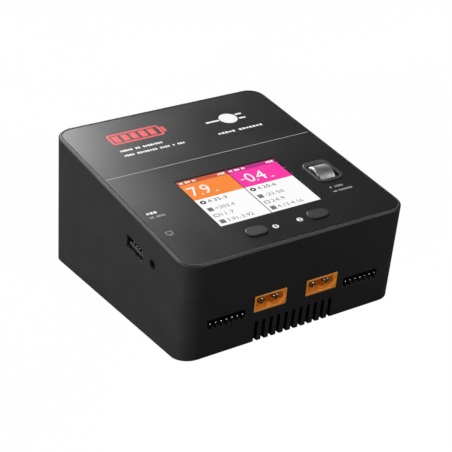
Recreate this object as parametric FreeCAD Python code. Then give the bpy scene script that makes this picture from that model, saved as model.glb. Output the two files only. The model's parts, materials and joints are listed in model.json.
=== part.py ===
import FreeCAD, Part
import math
import os

from FreeCAD import Vector

# Balance battery charger: a wedge-shaped desktop case with a sloping front panel, two battery
# outlets and two balance ports on its front, and its own mains supply and fan at the back.
# All lengths are millimetres.
#
# Two frames are used:
#   case frame   u right, v towards the back along the panel, w out of the panel; its origin is
#                the middle of the panel opening, level with the rim
#   floor frame  x right, y back, z up from the underside of the base plate
# The case frame leans back by TILT_DEG. The finished part has +Z up, +Y to the back, and its
# origin at the bottom centre of its bounding box, level with the soles of the feet.

# ---- case ----
BODY_WIDTH = 106.0
BODY_DEPTH = 117.0
FRONT_HEIGHT = 45.75
TILT_DEG = 9.6
CORNER_RADIUS = 8.0
WALL = 2.2
RIM_BEVEL = 0.7
BOTTOM_ROUND = 0.6
PANEL_MARGIN = 1.65
PANEL_GAP = 0.35
PANEL_DROP = 0.1
PANEL_THICKNESS = 1.2
DECK_THICKNESS = 1.8
BASE_THICKNESS = 2.2
BASE_GAP = 0.1
SOCKET_GAP = 0.15
ROUND_END_MARGIN = 0.01
FOOT_PROUD = 1.2
FOOT_SUNK = 0.8
FOOT_RADIUS = 5.0
FOOT_X = 40.0
FOOT_FRONT_Y = -40.0
FOOT_REAR_Y = 47.0
FOOT_FIT = 0.1
FOOT_EDGE = 0.4
BASE_SLOTS = 9
BASE_SLOT_PITCH = 5.0
BASE_SLOT = (2.4, 24.0)
BASE_SLOT_Y = -28.0
LABEL_Y = 18.0
LABEL_SIZE = (62.0, 34.0)
LABEL_CORNER = 2.0
LABEL_DEPTH = 0.3

# ---- case screws and their bosses ----
CASE_BOSS_U = 46.8
CASE_BOSS_V = 52.2
CASE_BOSS_RADIUS = 3.9
CUP_RADIUS = 4.4
CUP_RISE = 5.4
CUP_FLOOR = 2.4
COUNTERBORE_RADIUS = 3.1
CASE_SCREW_RADIUS = 1.45
CASE_SCREW_HOLE = 1.5
CASE_SCREW_PASS = 1.65
CASE_SCREW_LENGTH = 11.0
CASE_HEAD_RADIUS = 2.8
CASE_HEAD_HEIGHT = 2.0

# ---- small screws that hold the boards ----
BOARD_SCREW_RADIUS = 1.2
BOARD_SCREW_HOLE = 1.25
BOARD_SCREW_PASS = 1.4
BOARD_HOLE_SPARE = 0.6
BOARD_HEAD_RADIUS = 2.2
BOARD_HEAD_HEIGHT = 1.5
BOARD_SCREW_LENGTH = 5.5

# ---- display ----
DISPLAY_U = -1.14
DISPLAY_V = -19.59
DISPLAY_WIDTH = 48.96
DISPLAY_HEIGHT = 36.72
WINDOW_BORDER = 0.35
WINDOW_CORNER = 0.6
WINDOW_GAP = 0.04
WINDOW_THICKNESS = 0.3
LCD_LEFT = -34.2
LCD_RIGHT = 26.1
LCD_FRONT = -40.9
LCD_BACK = 1.8
LCD_TOP = -1.5
LCD_VIEW_TOP = -0.45
LCD_VIEW_GAP = 0.13
LCD_GLASS = 1.9
LCD_LIGHT = 1.6
LCD_DECK_GAP = 0.4
HOLDER_LIP = 1.2
HOLDER_FIT = 0.1
HOLDER_FLOOR = 1.2
HOLDER_WALL = 3.0

# ---- control board ----
CONTROL_TOP = -9.6
BOARD_THICKNESS = 1.6
CONTROL_V = -21.5
CONTROL_SIZE = (98.0, 60.0)
BOARD_NOTCH_V = -47.6
CONTROL_NOTCH_U = 42.5
CONTROL_POST_U = 46.0
CONTROL_POST_V = (-42.0, 3.0)
CONTROL_POST_RADIUS = 2.8
BUZZER_CENTRE = (-12.0, -44.0)
BUZZER_RADIUS = 4.8
BUZZER_HEIGHT = 5.0
PROCESSOR_CENTRE = (8.0, -18.0)
PROCESSOR_SIZE = (12.0, 12.0)
PROCESSOR_HEIGHT = 1.4

# ---- push buttons ----
BUTTON_U = 14.73
BUTTON_V = -47.1
BUTTON_WIDTH = 9.65
BUTTON_DEPTH = 6.0
BUTTON_PROUD = 0.5
BUTTON_GAP = 0.2
BUTTON_EDGE = 0.35
BUTTON_TRAVEL = 0.35
BUTTON_FLANGE = 0.9
BUTTON_FLANGE_TOP = -3.3
BUTTON_FLANGE_THICKNESS = 1.0
BUTTON_STEM_RADIUS = 2.0
BUTTON_STEM_END = -5.3
SWITCH_SIZE = 6.0
SWITCH_TOP = -6.1
PLUNGER_RADIUS = 1.6
PLUNGER_HOLE = 1.66
PLUNGER_DEPTH = 2.7

# ---- menu roller ----
ROLLER_U = 36.3
ROLLER_V = -19.3
ROLLER_W = -5.05
ROLLER_RADIUS = 6.8
ROLLER_WIDTH = 8.8
ROLLER_EDGE = 0.9
ROLLER_DISH_RING = 2.0
ROLLER_DISH_CORE = 2.2
ROLLER_DISH_DEPTH = 0.4
ROLLER_DECK_OPENING = (9.8, 15.2)
BEZEL_U = 36.7
BEZEL_V = -19.67
BEZEL_SIZE = (12.8, 16.4)
BEZEL_CORNER = 3.5
BEZEL_PROUD = 0.45
BEZEL_EDGE = 0.3
BEZEL_HOLE = (11.8, 15.2)
BEZEL_HOLE_CORNER = 2.6
BEZEL_FIT = 0.05
SLEEVE_BORE = (10.4, 13.7)
SLEEVE_BORE_CORNER = 1.9
OPENING_U = 36.4
OPENING_V = -20.4
OPENING_SIZE = (10.4, 11.9)
OPENING_CORNER = 1.3
SHAFT_RADIUS = 1.0
SHAFT_LEFT = 29.6
SHAFT_RIGHT = 44.4
SHAFT_CLEARANCE = 0.03
ENCODER_DISC_RADIUS = 1.7
ENCODER_DISC_THICKNESS = 0.75
CARRIER_GAP = 0.3
CARRIER_ARM = 1.0
CARRIER_HALF_DEPTH = 4.5
CARRIER_TOP = -3.3
CARRIER_FLOOR_TOP = -12.7
CARRIER_FLOOR_BOTTOM = -13.5
FRAME_GAP = 0.15
FRAME_CHEEK = 1.2
FRAME_EAR = (2.4, 1.2)
FRAME_SLOT_GAP = 0.1
ROLLER_BOARD_REACH = (-7.4, 8.4)
ROLLER_BOARD_HALF_DEPTH = 7.2
ROLLER_SWITCH_GAP = 0.7
ENCODER_BOARD_TOP = -17.3
ENCODER_BOARD_SIZE = (17.0, 13.0)
ENCODER_BOARD_THICKNESS = 1.0

# ---- front sockets ----
OUTLET_U = 12.5
OUTLET_W = -26.85
OUTLET_WIDTH = 15.3
OUTLET_HEIGHT = 7.75
OUTLET_CORNER = 0.45
OUTLET_EDGE = 0.25
OUTLET_PROUD = 0.1
OUTLET_CAVITY_WIDTH = 13.9
OUTLET_CAVITY_HEIGHT = 6.2
OUTLET_CAVITY_CHAMFER = 2.3
OUTLET_CAVITY_DEPTH = 9.0
OUTLET_LENGTH = 17.5
OUTLET_FOOT = (7.5, 9.0)
OUTLET_LATCH = ((-1.5, -0.2), (1.5, -0.2), (0.8, 1.1), (-0.8, 1.1))
OUTLET_LATCH_LENGTH = 1.6
OUTLET_PIN_RADIUS = 1.75
OUTLET_PIN_PITCH = 7.2
OUTLET_PIN_RECESS = 0.6
OUTLET_PIN_ROUND = 1.5
OUTLET_PIN_SPLIT = (2.4, 0.4)
PIN_COLLAR = 0.4
PIN_LEG = 1.1
BALANCE_U = 32.8
BALANCE_W = -29.63
BALANCE_PIN_W = -29.95
BALANCE_OPENING = (18.4, 4.4)
BALANCE_CORNER = 0.4
BALANCE_PINS = 7
BALANCE_PITCH = 2.5
BALANCE_PIN = 0.64
BALANCE_BODY_WIDTH = 19.9
BALANCE_BODY_DEPTH = 11.4
BALANCE_BODY_ROOF = 0.7
BALANCE_BODY_GAP = 0.05
BALANCE_CAVITY_DEPTH = 8.0
BALANCE_PIN_RECESS = 0.3
BALANCE_PIN_TIP = 0.2
BALANCE_LEG = 0.8
NOTCH_RADIUS = 0.8
CHARGE_TOP = -33.3
CHARGE_REAR = -3.0
CHARGE_WIDTH = 99.6
CHARGE_FRONT_GAP = 0.4
CHARGE_NOTCH_U = 42.6
CHARGE_POST_RADIUS = 3.3
CHARGE_POST_HEIGHT = 11.0
CHARGE_WEB_HALF = 2.2

# ---- parts on the charge board ----
INDUCTOR_U = 18.0
INDUCTOR_V = (-31.0, -13.0)
INDUCTOR_RADIUS = 8.0
INDUCTOR_POST_RADIUS = 4.0
INDUCTOR_COIL_RADIUS = 7.4
INDUCTOR_LEVELS = (2.0, 9.0, 11.0)
TRANSISTOR_U = 4.5
TRANSISTOR_V = (-32.0, -24.5, -17.0, -9.5)
TRANSISTOR_SIZE = (6.6, 6.1)
TRANSISTOR_HEIGHT = 2.3
CAPACITOR_U = 33.0
CAPACITOR_V = (-35.0, -25.0)
CAPACITOR_RADIUS = 4.0
CAPACITOR_HEIGHT = 12.0
CAN_EDGE = 0.6
CAN_GROOVE = (1.6, 2.6)
CAN_GROOVE_DEPTH = 0.4
RIBBON_HALF_WIDTH = 6.0
RIBBON_BOW = 4.0
RIBBON_THICKNESS = 0.3
RIBBON_INSET = 3.0

# ---- vents ----
VENT_COUNT = 11
VENT_PITCH = 3.65
VENT_WIDTH = 1.9
VENT_TOP = -35.45
VENT_FIN_BACK = 1.5
VENT_MARGIN = 0.6
VENT_GAP = 0.2
VENT_CUT_TOP = -23.0

# ---- left side sockets ----
USB_V = -18.42
USB_W = -14.69
USB_OPENING = (13.25, 6.12)
USB_OPENING_CORNER = 0.5
USB_SHELL = (13.1, 5.7)
USB_CORNERS = (0.6, 0.3)
USB_METAL = 0.3
USB_DEPTH = 13.5
USB_RECESS = 0.3
USB_TAB_SPREAD = 5.0
USB_TAB = (4.0, 2.0, 0.8)
USB_TONGUE_RECESS = 0.4
USB_TONGUE_HALF_WIDTH = 5.55
USB_TONGUE_SPAN = (-1.95, -0.15)
USB_TONGUE_EDGE = 0.25
USB_REAR_LENGTH = 3.0
USB_CONTACTS = (-3.5, -1.0, 1.0, 3.5)
USB_CONTACT_HALF_WIDTH = 0.5
USB_CONTACT_START = 1.4
USB_CONTACT_THICKNESS = 0.25
JACK_V = -32.83
JACK_W = -13.63
JACK_BORE_RADIUS = 1.8
JACK_NOSE_RADIUS = 2.05
JACK_HOLE_RADIUS = 2.15
JACK_BORE_LENGTH = 12.0
JACK_RECESS = 0.5
JACK_BODY = (6.2, 5.0)
JACK_BODY_LENGTH = 12.9
JACK_BODY_CORNER = 0.4

# ---- back: mains inlet and fan ----
INLET_U = -27.0
INLET_W = -37.0
INLET_WIDTH = 25.0
INLET_HEIGHT = 14.0
INLET_CORNER = 3.85
INLET_FLANGE = (6.0, 4.0)
INLET_FLANGE_THICKNESS = 2.0
INLET_CAVITY = (16.4, 8.6)
INLET_CAVITY_DEPTH = 12.5
INLET_PIN_RADIUS = 1.2
INLET_PIN_PITCH = 8.6
INLET_PIN_RECESS = 2.0
INLET_PIN_ROUND = 0.6
INLET_PIN_TAIL = 2.0
INLET_LENGTH = 17.0
MAINS_LEAD_RADIUS = 1.1
MAINS_LEAD_END_Y = 33.0
FAN_U = 22.5
FAN_W = -33.0
FAN_SIZE = 40.0
FAN_DEPTH = 10.0
FAN_DUCT_RADIUS = 18.8
FAN_HOLE_PITCH = 32.0
FAN_BLADES = 7
FAN_TIP_RADIUS = 18.1
FAN_HUB_RADIUS = 9.0
FAN_CORNER = 3.0
FAN_SEAT_RADIUS = 8.0
FAN_SEAT_THICKNESS = 2.0
FAN_STRUTS = 4
FAN_STRUT_HALF_WIDTH = 1.0
FAN_STRUT_THICKNESS = 1.6
FAN_STUB_RADIUS = 2.2
FAN_STUB_START = 3.2
FAN_HUB_SPAN = (1.0, 7.6)
FAN_HUB_EDGE = 0.8
FAN_CUP_SPAN = (2.6, 9.0)
FAN_BLADE_SPAN = (0.8, 7.8)
FAN_BLADE_LEAD = (-3.4, 1.2)
FAN_BLADE_TAIL = (3.4, 6.6)
FAN_BLADE_LOWER = (0.9, 3.1)
FAN_BLADE_UPPER = (0.45, 3.85)
FAN_BLADE_THICKNESS = (-0.35, 0.6)
FAN_SCREW_RADIUS = 1.45
FAN_SCREW_HOLE = 1.6
FAN_SCREW_HEAD = 2.9
FAN_SCREW_LENGTH = 11.5
FAN_SINK_RADIUS = 3.05
FAN_SINK_DEPTH = 1.5
GRILLE_SLOTS = 9
GRILLE_PITCH = 3.7
GRILLE_WIDTH = 2.4
GRILLE_RADIUS = 17.2

# ---- mains supply board, in the floor frame ----
SUPPLY_Z = 7.2
SUPPLY_FRONT_Y = 0.0
SUPPLY_REAR_Y = 46.0
SUPPLY_HALF_WIDTH = 48.0
SUPPLY_SCREWS = ((-44.0, 4.0), (44.0, 4.0), (-44.0, 41.0), (44.0, 41.0))
SUPPLY_POST_RADIUS = 3.2
SUPPLY_LEADS_X = (30.0, 36.0)
SUPPLY_LEAD_RADIUS = 1.3
SUPPLY_LEAD_ENDS = (5.0, -12.0)
FUSE_Y = 38.5
FUSE_RISE = 3.2
FUSE_TUBE = (2.6, -38.0, -18.0)
FUSE_CAP_RADIUS = 3.1
FUSE_CAP_LENGTH = 5.0
FUSE_CAPS_X = (-40.0, -21.0)
CHOKE_Y = 20.0
CHOKE_RISE = 11.5
CHOKE_SPAN = (-42.5, -35.5)
CHOKE_RADII = (9.5, 4.5)
CHOKE_WINDING_SPAN = (-43.6, -34.4)
CHOKE_WINDING_RADII = (5.0, 9.9)
CHOKE_WINDING_LEVELS = (7.5, 15.5)
CHOKE_CARRIER = ((-44.5, -33.5), (12.0, 28.0))
CHOKE_CARRIER_HEIGHT = 2.6
RECTIFIER_SPAN = ((-30.0, -9.0), (26.0, 29.6))
RECTIFIER_LEVELS = (3.0, 18.0)
RECTIFIER_LEGS_X = (-27.6, -22.5, -17.4, -12.3)
BULK_CAPACITOR = (-19.0, 13.0)
BULK_CAPACITOR_RADIUS = 9.0
BULK_CAPACITOR_HEIGHT = 30.0
TRANSFORMER = (8.0, 16.0)
TRANSFORMER_HALF = (15.0, 5.5)
TRANSFORMER_LEVELS = (2.0, 30.0)
TRANSFORMER_WINDOW = (4.5, 10.5)
TRANSFORMER_YOKE = 4.5
TRANSFORMER_COIL = (20.8, 24.0)
TRANSFORMER_COIL_LEVELS = (6.6, 25.4)
TRANSFORMER_PINS = (8.0, 9.0)
HEAT_SINKS = ((-3.0, 31.0, 44.0), (34.0, 12.0, 38.0))
HEAT_SINK_PLATE = 2.5
HEAT_SINK_REACH = 8.0
HEAT_SINK_HEIGHT = 26.0
HEAT_SINK_FINS = 6
HEAT_SINK_FIN_PITCH = 4.2
HEAT_SINK_FIN = 1.4

TILT = math.radians(TILT_DEG)
FLOOR_SLOPE = math.tan(TILT)
FRONT_FACE = -BODY_DEPTH / 2
REAR_FACE = BODY_DEPTH / 2
FRONT_INNER = FRONT_FACE + WALL
REAR_INNER = REAR_FACE - WALL
LEFT_FACE = -BODY_WIDTH / 2
LEFT_INNER = LEFT_FACE + WALL
PANEL_BOTTOM = -PANEL_DROP - PANEL_THICKNESS
DECK_BOTTOM = PANEL_BOTTOM - DECK_THICKNESS
CONTROL_BOTTOM = CONTROL_TOP - BOARD_THICKNESS
CHARGE_BOTTOM = CHARGE_TOP - BOARD_THICKNESS
SUPPLY_TOP_Z = SUPPLY_Z + BOARD_THICKNESS
LOWEST_REACH = FRONT_HEIGHT + BODY_DEPTH * FLOOR_SLOPE + 5
# Where the case frame's origin stands above the floor frame's z = 0, and how far it sits off centre.
ORIGIN_RISE = FRONT_HEIGHT * math.cos(TILT) + BODY_DEPTH / 2 * math.sin(TILT)
FRONT_REACH = -BODY_DEPTH / 2 * math.cos(TILT) + RIM_BEVEL * math.sin(TILT)
REAR_HEIGHT = FRONT_HEIGHT + BODY_DEPTH * FLOOR_SLOPE
REAR_REACH = BODY_DEPTH / 2 * math.cos(TILT) + (REAR_HEIGHT - BOTTOM_ROUND) * math.sin(TILT)
ORIGIN_Y = -(FRONT_REACH + REAR_REACH) / 2
CHARGE_SCREWS = ((-47.3, -41.5), (47.3, -41.5), (-47.3, -8.5), (47.3, -8.5))
USB_FRONT = LEFT_FACE + USB_RECESS
USB_BACK = USB_FRONT + USB_DEPTH
LCD_U = (LCD_LEFT, LCD_RIGHT)
LCD_V = (LCD_FRONT, LCD_BACK)


# ---------------------------------------------------------------- helpers
def turned(shape, along):
    """Turns a shape drawn along z so that it lies along u, v or w."""
    if along == "u":
        shape.rotate(Vector(0, 0, 0), Vector(1, 1, 1), 120)
    if along == "v":
        shape.rotate(Vector(0, 0, 0), Vector(1, 0, 0), 90)
    return shape


def pulled(face, low, high, along="w"):
    """A flat face drawn at z = 0, pulled from low to high along an axis."""
    start = -high if along == "v" else low
    solid = face.extrude(Vector(0, 0, high - low))
    solid.translate(Vector(0, 0, start))
    return turned(solid, along)


def block(u, v, w):
    """A plain box from its low and high limits along each axis."""
    corner = Vector(u[0], v[0], w[0])
    return Part.makeBox(u[1] - u[0], v[1] - v[0], w[1] - w[0], corner)


def rod(along, centre, radius, low, high):
    """A round bar. The centre is on the two axes across it, in u, v, w order."""
    bar = Part.makeCylinder(radius, high - low)
    start = -high if along == "v" else low
    bar.translate(Vector(centre[0], centre[1], start))
    return turned(bar, along)


def rounded_face(centre, size, radius):
    """A rectangle with round corners, flat at z = 0."""
    x0 = centre[0] - size[0] / 2
    x1 = centre[0] + size[0] / 2
    y0 = centre[1] - size[1] / 2
    y1 = centre[1] + size[1] / 2
    inset = radius * (1 - math.sqrt(0.5))
    corners = (
        ((x1 - radius, y0), (x1 - inset, y0 + inset), (x1, y0 + radius)),
        ((x1, y1 - radius), (x1 - inset, y1 - inset), (x1 - radius, y1)),
        ((x0 + radius, y1), (x0 + inset, y1 - inset), (x0, y1 - radius)),
        ((x0, y0 + radius), (x0 + inset, y0 + inset), (x0 + radius, y0)),
    )
    edges = []
    for i, corner in enumerate(corners):
        start, middle, end = (Vector(x, y, 0) for x, y in corner)
        edges.append(Part.Arc(start, middle, end).toShape())
        following = Vector(*corners[(i + 1) % 4][0], 0)
        if end.distanceToPoint(following) > 1e-6:
            edges.append(Part.makeLine(end, following))
    return Part.Face(Part.Wire(edges))


def rounded_bar(centre, size, radius, low, high, along="w"):
    return pulled(rounded_face(centre, size, radius), low, high, along)


def round_ended_bar(centre, size, low, high, along="w"):
    """A bar whose two narrow ends are fully round."""
    return rounded_bar(centre, size, min(size) / 2 - ROUND_END_MARGIN, low, high, along)


def polygon_bar(points, low, high, along="w"):
    corners = [Vector(a, b, 0) for a, b in points]
    return pulled(Part.Face(Part.makePolygon(corners + corners[:1])), low, high, along)


def joined(shapes):
    first, *rest = shapes
    return first.fuse(rest).removeSplitter() if rest else first


def softened(shape, radius, wanted, sharp=False):
    """Rounds, or with sharp chamfers, every edge that wanted(edge) picks."""
    edges = [edge for edge in shape.Edges if wanted(edge)]
    return shape.makeChamfer(radius, edges) if sharp else shape.makeFillet(radius, edges)


def level_edge(edge, height, axis="z"):
    """True for an edge that lies wholly at one height."""
    box = edge.BoundBox
    spans = {
        "x": (box.XMin, box.XMax),
        "y": (box.YMin, box.YMax),
        "z": (box.ZMin, box.ZMax),
    }
    low, high = spans[axis]
    return abs(low - height) < 1e-3 and abs(high - height) < 1e-3


def below_floor(offset):
    """Everything below the underside of the base, raised by offset, in the case frame."""
    under = Part.makeBox(400, 400, 200, Vector(-200, -200, -200))
    under.translate(Vector(0, 0, offset))
    return floor_to_case(under)


def floor_w(v):
    """Where the underside of the base is, in the case frame, at a given v."""
    return -FRONT_HEIGHT - (v - FRONT_FACE) * FLOOR_SLOPE


def floor_to_case(shape):
    shape.translate(Vector(0, -ORIGIN_Y, -ORIGIN_RISE))
    shape.rotate(Vector(0, 0, 0), Vector(1, 0, 0), -TILT_DEG)
    return shape


def case_to_part(shape):
    shape.rotate(Vector(0, 0, 0), Vector(1, 0, 0), TILT_DEG)
    shape.translate(Vector(0, ORIGIN_Y, ORIGIN_RISE + FOOT_PROUD))
    return shape


def floor_to_part(shape):
    shape.translate(Vector(0, 0, FOOT_PROUD))
    return shape


def wedge(inset, top, offset, radius):
    """The body's outline, moved in by inset, from the sloping floor up to top."""
    size = (BODY_WIDTH - 2 * inset, BODY_DEPTH - 2 * inset)
    return rounded_bar((0, 0), size, radius, -LOWEST_REACH, top).cut(below_floor(offset))


def floor_point(x, y, z):
    """A point given in the floor frame, in the case frame."""
    return floor_vector(x, y - ORIGIN_Y, z - ORIGIN_RISE)


def floor_vector(x, y, z):
    return FreeCAD.Rotation(Vector(1, 0, 0), -TILT_DEG).multVec(Vector(x, y, z))


def grown(size, margin):
    """A width and depth made larger by margin on every side."""
    return (size[0] + 2 * margin, size[1] + 2 * margin)


def raised(levels, base):
    """A low and high limit moved up by base."""
    return (base + levels[0], base + levels[1])


def spline_lead(start, start_way, end, end_way, middles, radius):
    """A round wire that leaves start and meets end square to their surfaces."""
    curve = Part.BSplineCurve()
    curve.interpolate([start, *middles, end], InitialTangent=start_way, FinalTangent=end_way)
    profile = Part.Wire(Part.makeCircle(radius, start, start_way))
    return Part.Wire(curve.toShape()).makePipeShell([profile], True, False)


# ---------------------------------------------------------------- case
def case_boss_centres():
    return [(u, v) for u in (-CASE_BOSS_U, CASE_BOSS_U) for v in (-CASE_BOSS_V, CASE_BOSS_V)]


def vent_centres():
    first = -(VENT_COUNT - 1) / 2
    return [(first + i) * VENT_PITCH for i in range(VENT_COUNT)]


def fan_screw_centres():
    half = FAN_HOLE_PITCH / 2
    return [(FAN_U + a, FAN_W + b) for a in (-half, half) for b in (-half, half)]


def shell_front_openings():
    cuts = []
    through = (FRONT_FACE - 1, FRONT_INNER + 0.5)
    outlet = grown((OUTLET_WIDTH, OUTLET_HEIGHT), SOCKET_GAP)
    corner = OUTLET_CORNER + SOCKET_GAP
    for side in (-1, 1):
        cuts.append(rounded_bar((side * OUTLET_U, OUTLET_W), outlet, corner, *through, "v"))
        port = (side * BALANCE_U, BALANCE_W)
        cuts.append(rounded_bar(port, BALANCE_OPENING, BALANCE_CORNER, *through, "v"))
        for u in balance_pin_positions(side):
            w = BALANCE_W - BALANCE_OPENING[1] / 2
            cuts.append(rod("v", (u, w), NOTCH_RADIUS, *through))
    height = VENT_TOP + LOWEST_REACH
    back = FRONT_INNER + VENT_FIN_BACK + 0.5
    for u in vent_centres():
        centre = (u, VENT_TOP - height / 2)
        cuts.append(round_ended_bar(centre, (VENT_WIDTH, height), FRONT_FACE - 1, back, "v"))
    return cuts


def shell_side_openings():
    through = (LEFT_FACE - 1, LEFT_INNER + 0.5)
    usb = rounded_bar((USB_V, USB_W), USB_OPENING, USB_OPENING_CORNER, *through, "u")
    jack = rod("u", (JACK_V, JACK_W), JACK_HOLE_RADIUS, *through)
    return [usb, jack]


def shell_back_openings():
    cuts = []
    through = (REAR_INNER - 0.5, REAR_FACE + 1)
    inlet = grown((INLET_WIDTH, INLET_HEIGHT), SOCKET_GAP)
    cuts.append(rounded_bar((INLET_U, INLET_W), inlet, INLET_CORNER + SOCKET_GAP, *through, "v"))
    for i in range(GRILLE_SLOTS):
        offset = (i - (GRILLE_SLOTS - 1) / 2) * GRILLE_PITCH
        half = math.sqrt(GRILLE_RADIUS ** 2 - offset ** 2)
        centre = (FAN_U + offset, FAN_W)
        cuts.append(round_ended_bar(centre, (GRILLE_WIDTH, 2 * half), *through, "v"))
    for u, w in fan_screw_centres():
        cuts.append(rod("v", (u, w), FAN_SCREW_HOLE, *through))
        sink = Part.makeCone(FAN_SINK_RADIUS, FAN_SCREW_HOLE, FAN_SINK_DEPTH)
        sink.translate(Vector(u, w, -REAR_FACE))
        cuts.append(turned(sink, "v"))
    return cuts


def deck_openings():
    low, high = DECK_BOTTOM - 0.5, PANEL_BOTTOM + 0.5
    centre = ((LCD_LEFT + LCD_RIGHT) / 2, (LCD_FRONT + LCD_BACK) / 2)
    size = grown((LCD_RIGHT - LCD_LEFT, LCD_BACK - LCD_FRONT), LCD_DECK_GAP)
    cuts = [rounded_bar(centre, size, 1.0, low, high)]
    cuts.append(rounded_bar((ROLLER_U, ROLLER_V), ROLLER_DECK_OPENING, 1.0, low, high))
    return cuts + button_wells(low, high)


def button_wells(low, high):
    size = grown((BUTTON_WIDTH, BUTTON_DEPTH), BUTTON_GAP)
    return [round_ended_bar((side * BUTTON_U, BUTTON_V), size, low, high) for side in (-1, 1)]


def shell_bosses():
    """Posts inside the shell: corner bosses for the case screws, and posts for two boards."""
    posts = []
    for u, v in case_boss_centres():
        bottom = floor_w(v) + CUP_RISE
        posts.append(rod("w", (u, v), CASE_BOSS_RADIUS, bottom, DECK_BOTTOM + 0.5))
    for u in (-CONTROL_POST_U, CONTROL_POST_U):
        for v in CONTROL_POST_V:
            posts.append(rod("w", (u, v), CONTROL_POST_RADIUS, CONTROL_TOP, DECK_BOTTOM + 0.5))
    levels = (CHARGE_TOP, CHARGE_TOP + CHARGE_POST_HEIGHT)
    for u, v in CHARGE_SCREWS:
        post = rod("w", (u, v), CHARGE_POST_RADIUS, *levels)
        reach = math.copysign(BODY_WIDTH / 2 - WALL + 0.5, u)
        web = block(sorted((u, reach)), (v - CHARGE_WEB_HALF, v + CHARGE_WEB_HALF), levels)
        posts.append(post.fuse(web))
    comb = (FRONT_INNER - 0.5, FRONT_INNER + VENT_FIN_BACK)
    half = VENT_COUNT * VENT_PITCH / 2 + VENT_MARGIN
    fins = block((-half, half), comb, (-LOWEST_REACH, VENT_TOP + VENT_MARGIN / 2))
    posts.append(fins.cut(below_floor(0)))
    return posts


def boss_holes():
    holes = []
    for u, v in case_boss_centres():
        bottom = floor_w(v) + CUP_RISE
        holes.append(rod("w", (u, v), CASE_SCREW_HOLE, bottom - 1, bottom + CASE_SCREW_LENGTH))
    depth = BOARD_SCREW_LENGTH - BOARD_THICKNESS + BOARD_HOLE_SPARE
    for u in (-CONTROL_POST_U, CONTROL_POST_U):
        for v in CONTROL_POST_V:
            holes.append(rod("w", (u, v), BOARD_SCREW_HOLE, CONTROL_TOP - 1, CONTROL_TOP + depth))
    for u, v in CHARGE_SCREWS:
        holes.append(rod("w", (u, v), BOARD_SCREW_HOLE, CHARGE_TOP - 1, CHARGE_TOP + depth))
    return holes


def upper_shell():
    outer = wedge(0, 0, 0, CORNER_RADIUS)
    outer = softened(outer, RIM_BEVEL, lambda edge: level_edge(edge, 0), sharp=True)
    outer = case_to_part(outer)
    outer = softened(outer, BOTTOM_ROUND, lambda edge: level_edge(edge, FOOT_PROUD))
    outer = floor_to_case(outer)
    outer.translate(Vector(0, -FOOT_PROUD * math.sin(TILT), -FOOT_PROUD * math.cos(TILT)))
    hollow = wedge(WALL, DECK_BOTTOM, -5, CORNER_RADIUS - WALL)
    edge = PANEL_MARGIN - PANEL_GAP
    opening = (BODY_WIDTH - 2 * edge, BODY_DEPTH - 2 * edge)
    recess = rounded_bar((0, 0), opening, CORNER_RADIUS - edge, PANEL_BOTTOM, 1)
    shell = outer.cut([hollow, recess])
    shell = joined([shell, *shell_bosses()])
    cuts = shell_front_openings() + shell_side_openings() + shell_back_openings()
    return shell.cut(cuts + deck_openings() + boss_holes())


def base_plate():
    inset = WALL + BASE_GAP
    outline = wedge(inset, 0, 0, CORNER_RADIUS - inset)
    plate = outline.common(below_floor(BASE_THICKNESS))
    cups = []
    for u, v in case_boss_centres():
        top = floor_w(v) + CUP_RISE
        cups.append(rod("w", (u, v), CUP_RADIUS, top - CUP_RISE - 2, top).common(outline))
    posts = [rod("w", xy, SUPPLY_POST_RADIUS, 1.0, SUPPLY_Z) for xy in SUPPLY_SCREWS]
    plate = joined([plate, *cups, *[floor_to_case(post) for post in posts]])
    cuts = []
    for u, v in case_boss_centres():
        floor = floor_w(v) + CUP_RISE - CUP_FLOOR
        cuts.append(rod("w", (u, v), COUNTERBORE_RADIUS, floor - 12, floor))
        cuts.append(rod("w", (u, v), CASE_SCREW_PASS, floor - 1, floor + 4))
    half = VENT_COUNT * VENT_PITCH / 2 + VENT_MARGIN + VENT_GAP
    comb = (FRONT_FACE, FRONT_INNER + VENT_FIN_BACK + VENT_GAP)
    cuts.append(block((-half, half), comb, (-LOWEST_REACH, VENT_CUT_TOP)))
    return plate.cut(cuts + [floor_to_case(cut) for cut in base_floor_cuts()])


def base_floor_cuts():
    """Screw holes, foot seats, air slots and the label's recess, in the floor frame."""
    cuts = []
    for x, y in SUPPLY_SCREWS:
        cuts.append(rod("w", (x, y), BOARD_SCREW_HOLE, SUPPLY_Z - 5, SUPPLY_Z + 1))
    for x, y in foot_centres():
        cuts.append(rod("w", (x, y), FOOT_RADIUS + FOOT_FIT, -1, FOOT_SUNK))
    for i in range(BASE_SLOTS):
        x = (i - (BASE_SLOTS - 1) / 2) * BASE_SLOT_PITCH
        cuts.append(round_ended_bar((x, BASE_SLOT_Y), BASE_SLOT, -1, BASE_THICKNESS + 1))
    cuts.append(rounded_bar((0, LABEL_Y), LABEL_SIZE, LABEL_CORNER, -1, LABEL_DEPTH))
    return cuts


def top_panel():
    size = (BODY_WIDTH - 2 * PANEL_MARGIN, BODY_DEPTH - 2 * PANEL_MARGIN)
    panel = rounded_bar((0, 0), size, CORNER_RADIUS - PANEL_MARGIN, PANEL_BOTTOM, -PANEL_DROP)
    low, high = PANEL_BOTTOM - 1, 1
    cuts = [display_opening(0, low, high)]
    cuts.append(rounded_bar((BEZEL_U, BEZEL_V), BEZEL_HOLE, BEZEL_HOLE_CORNER, low, high))
    return panel.cut(cuts + button_wells(low, high))


def display_opening(gap, low, high):
    """The display's opening in the panel, or a plate that fits it with a gap all round."""
    size = grown((DISPLAY_WIDTH, DISPLAY_HEIGHT), WINDOW_BORDER - gap)
    return rounded_bar((DISPLAY_U, DISPLAY_V), size, WINDOW_CORNER - gap, low, high)


def display_window():
    return display_opening(WINDOW_GAP, -PANEL_DROP - WINDOW_THICKNESS, -PANEL_DROP)


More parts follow.
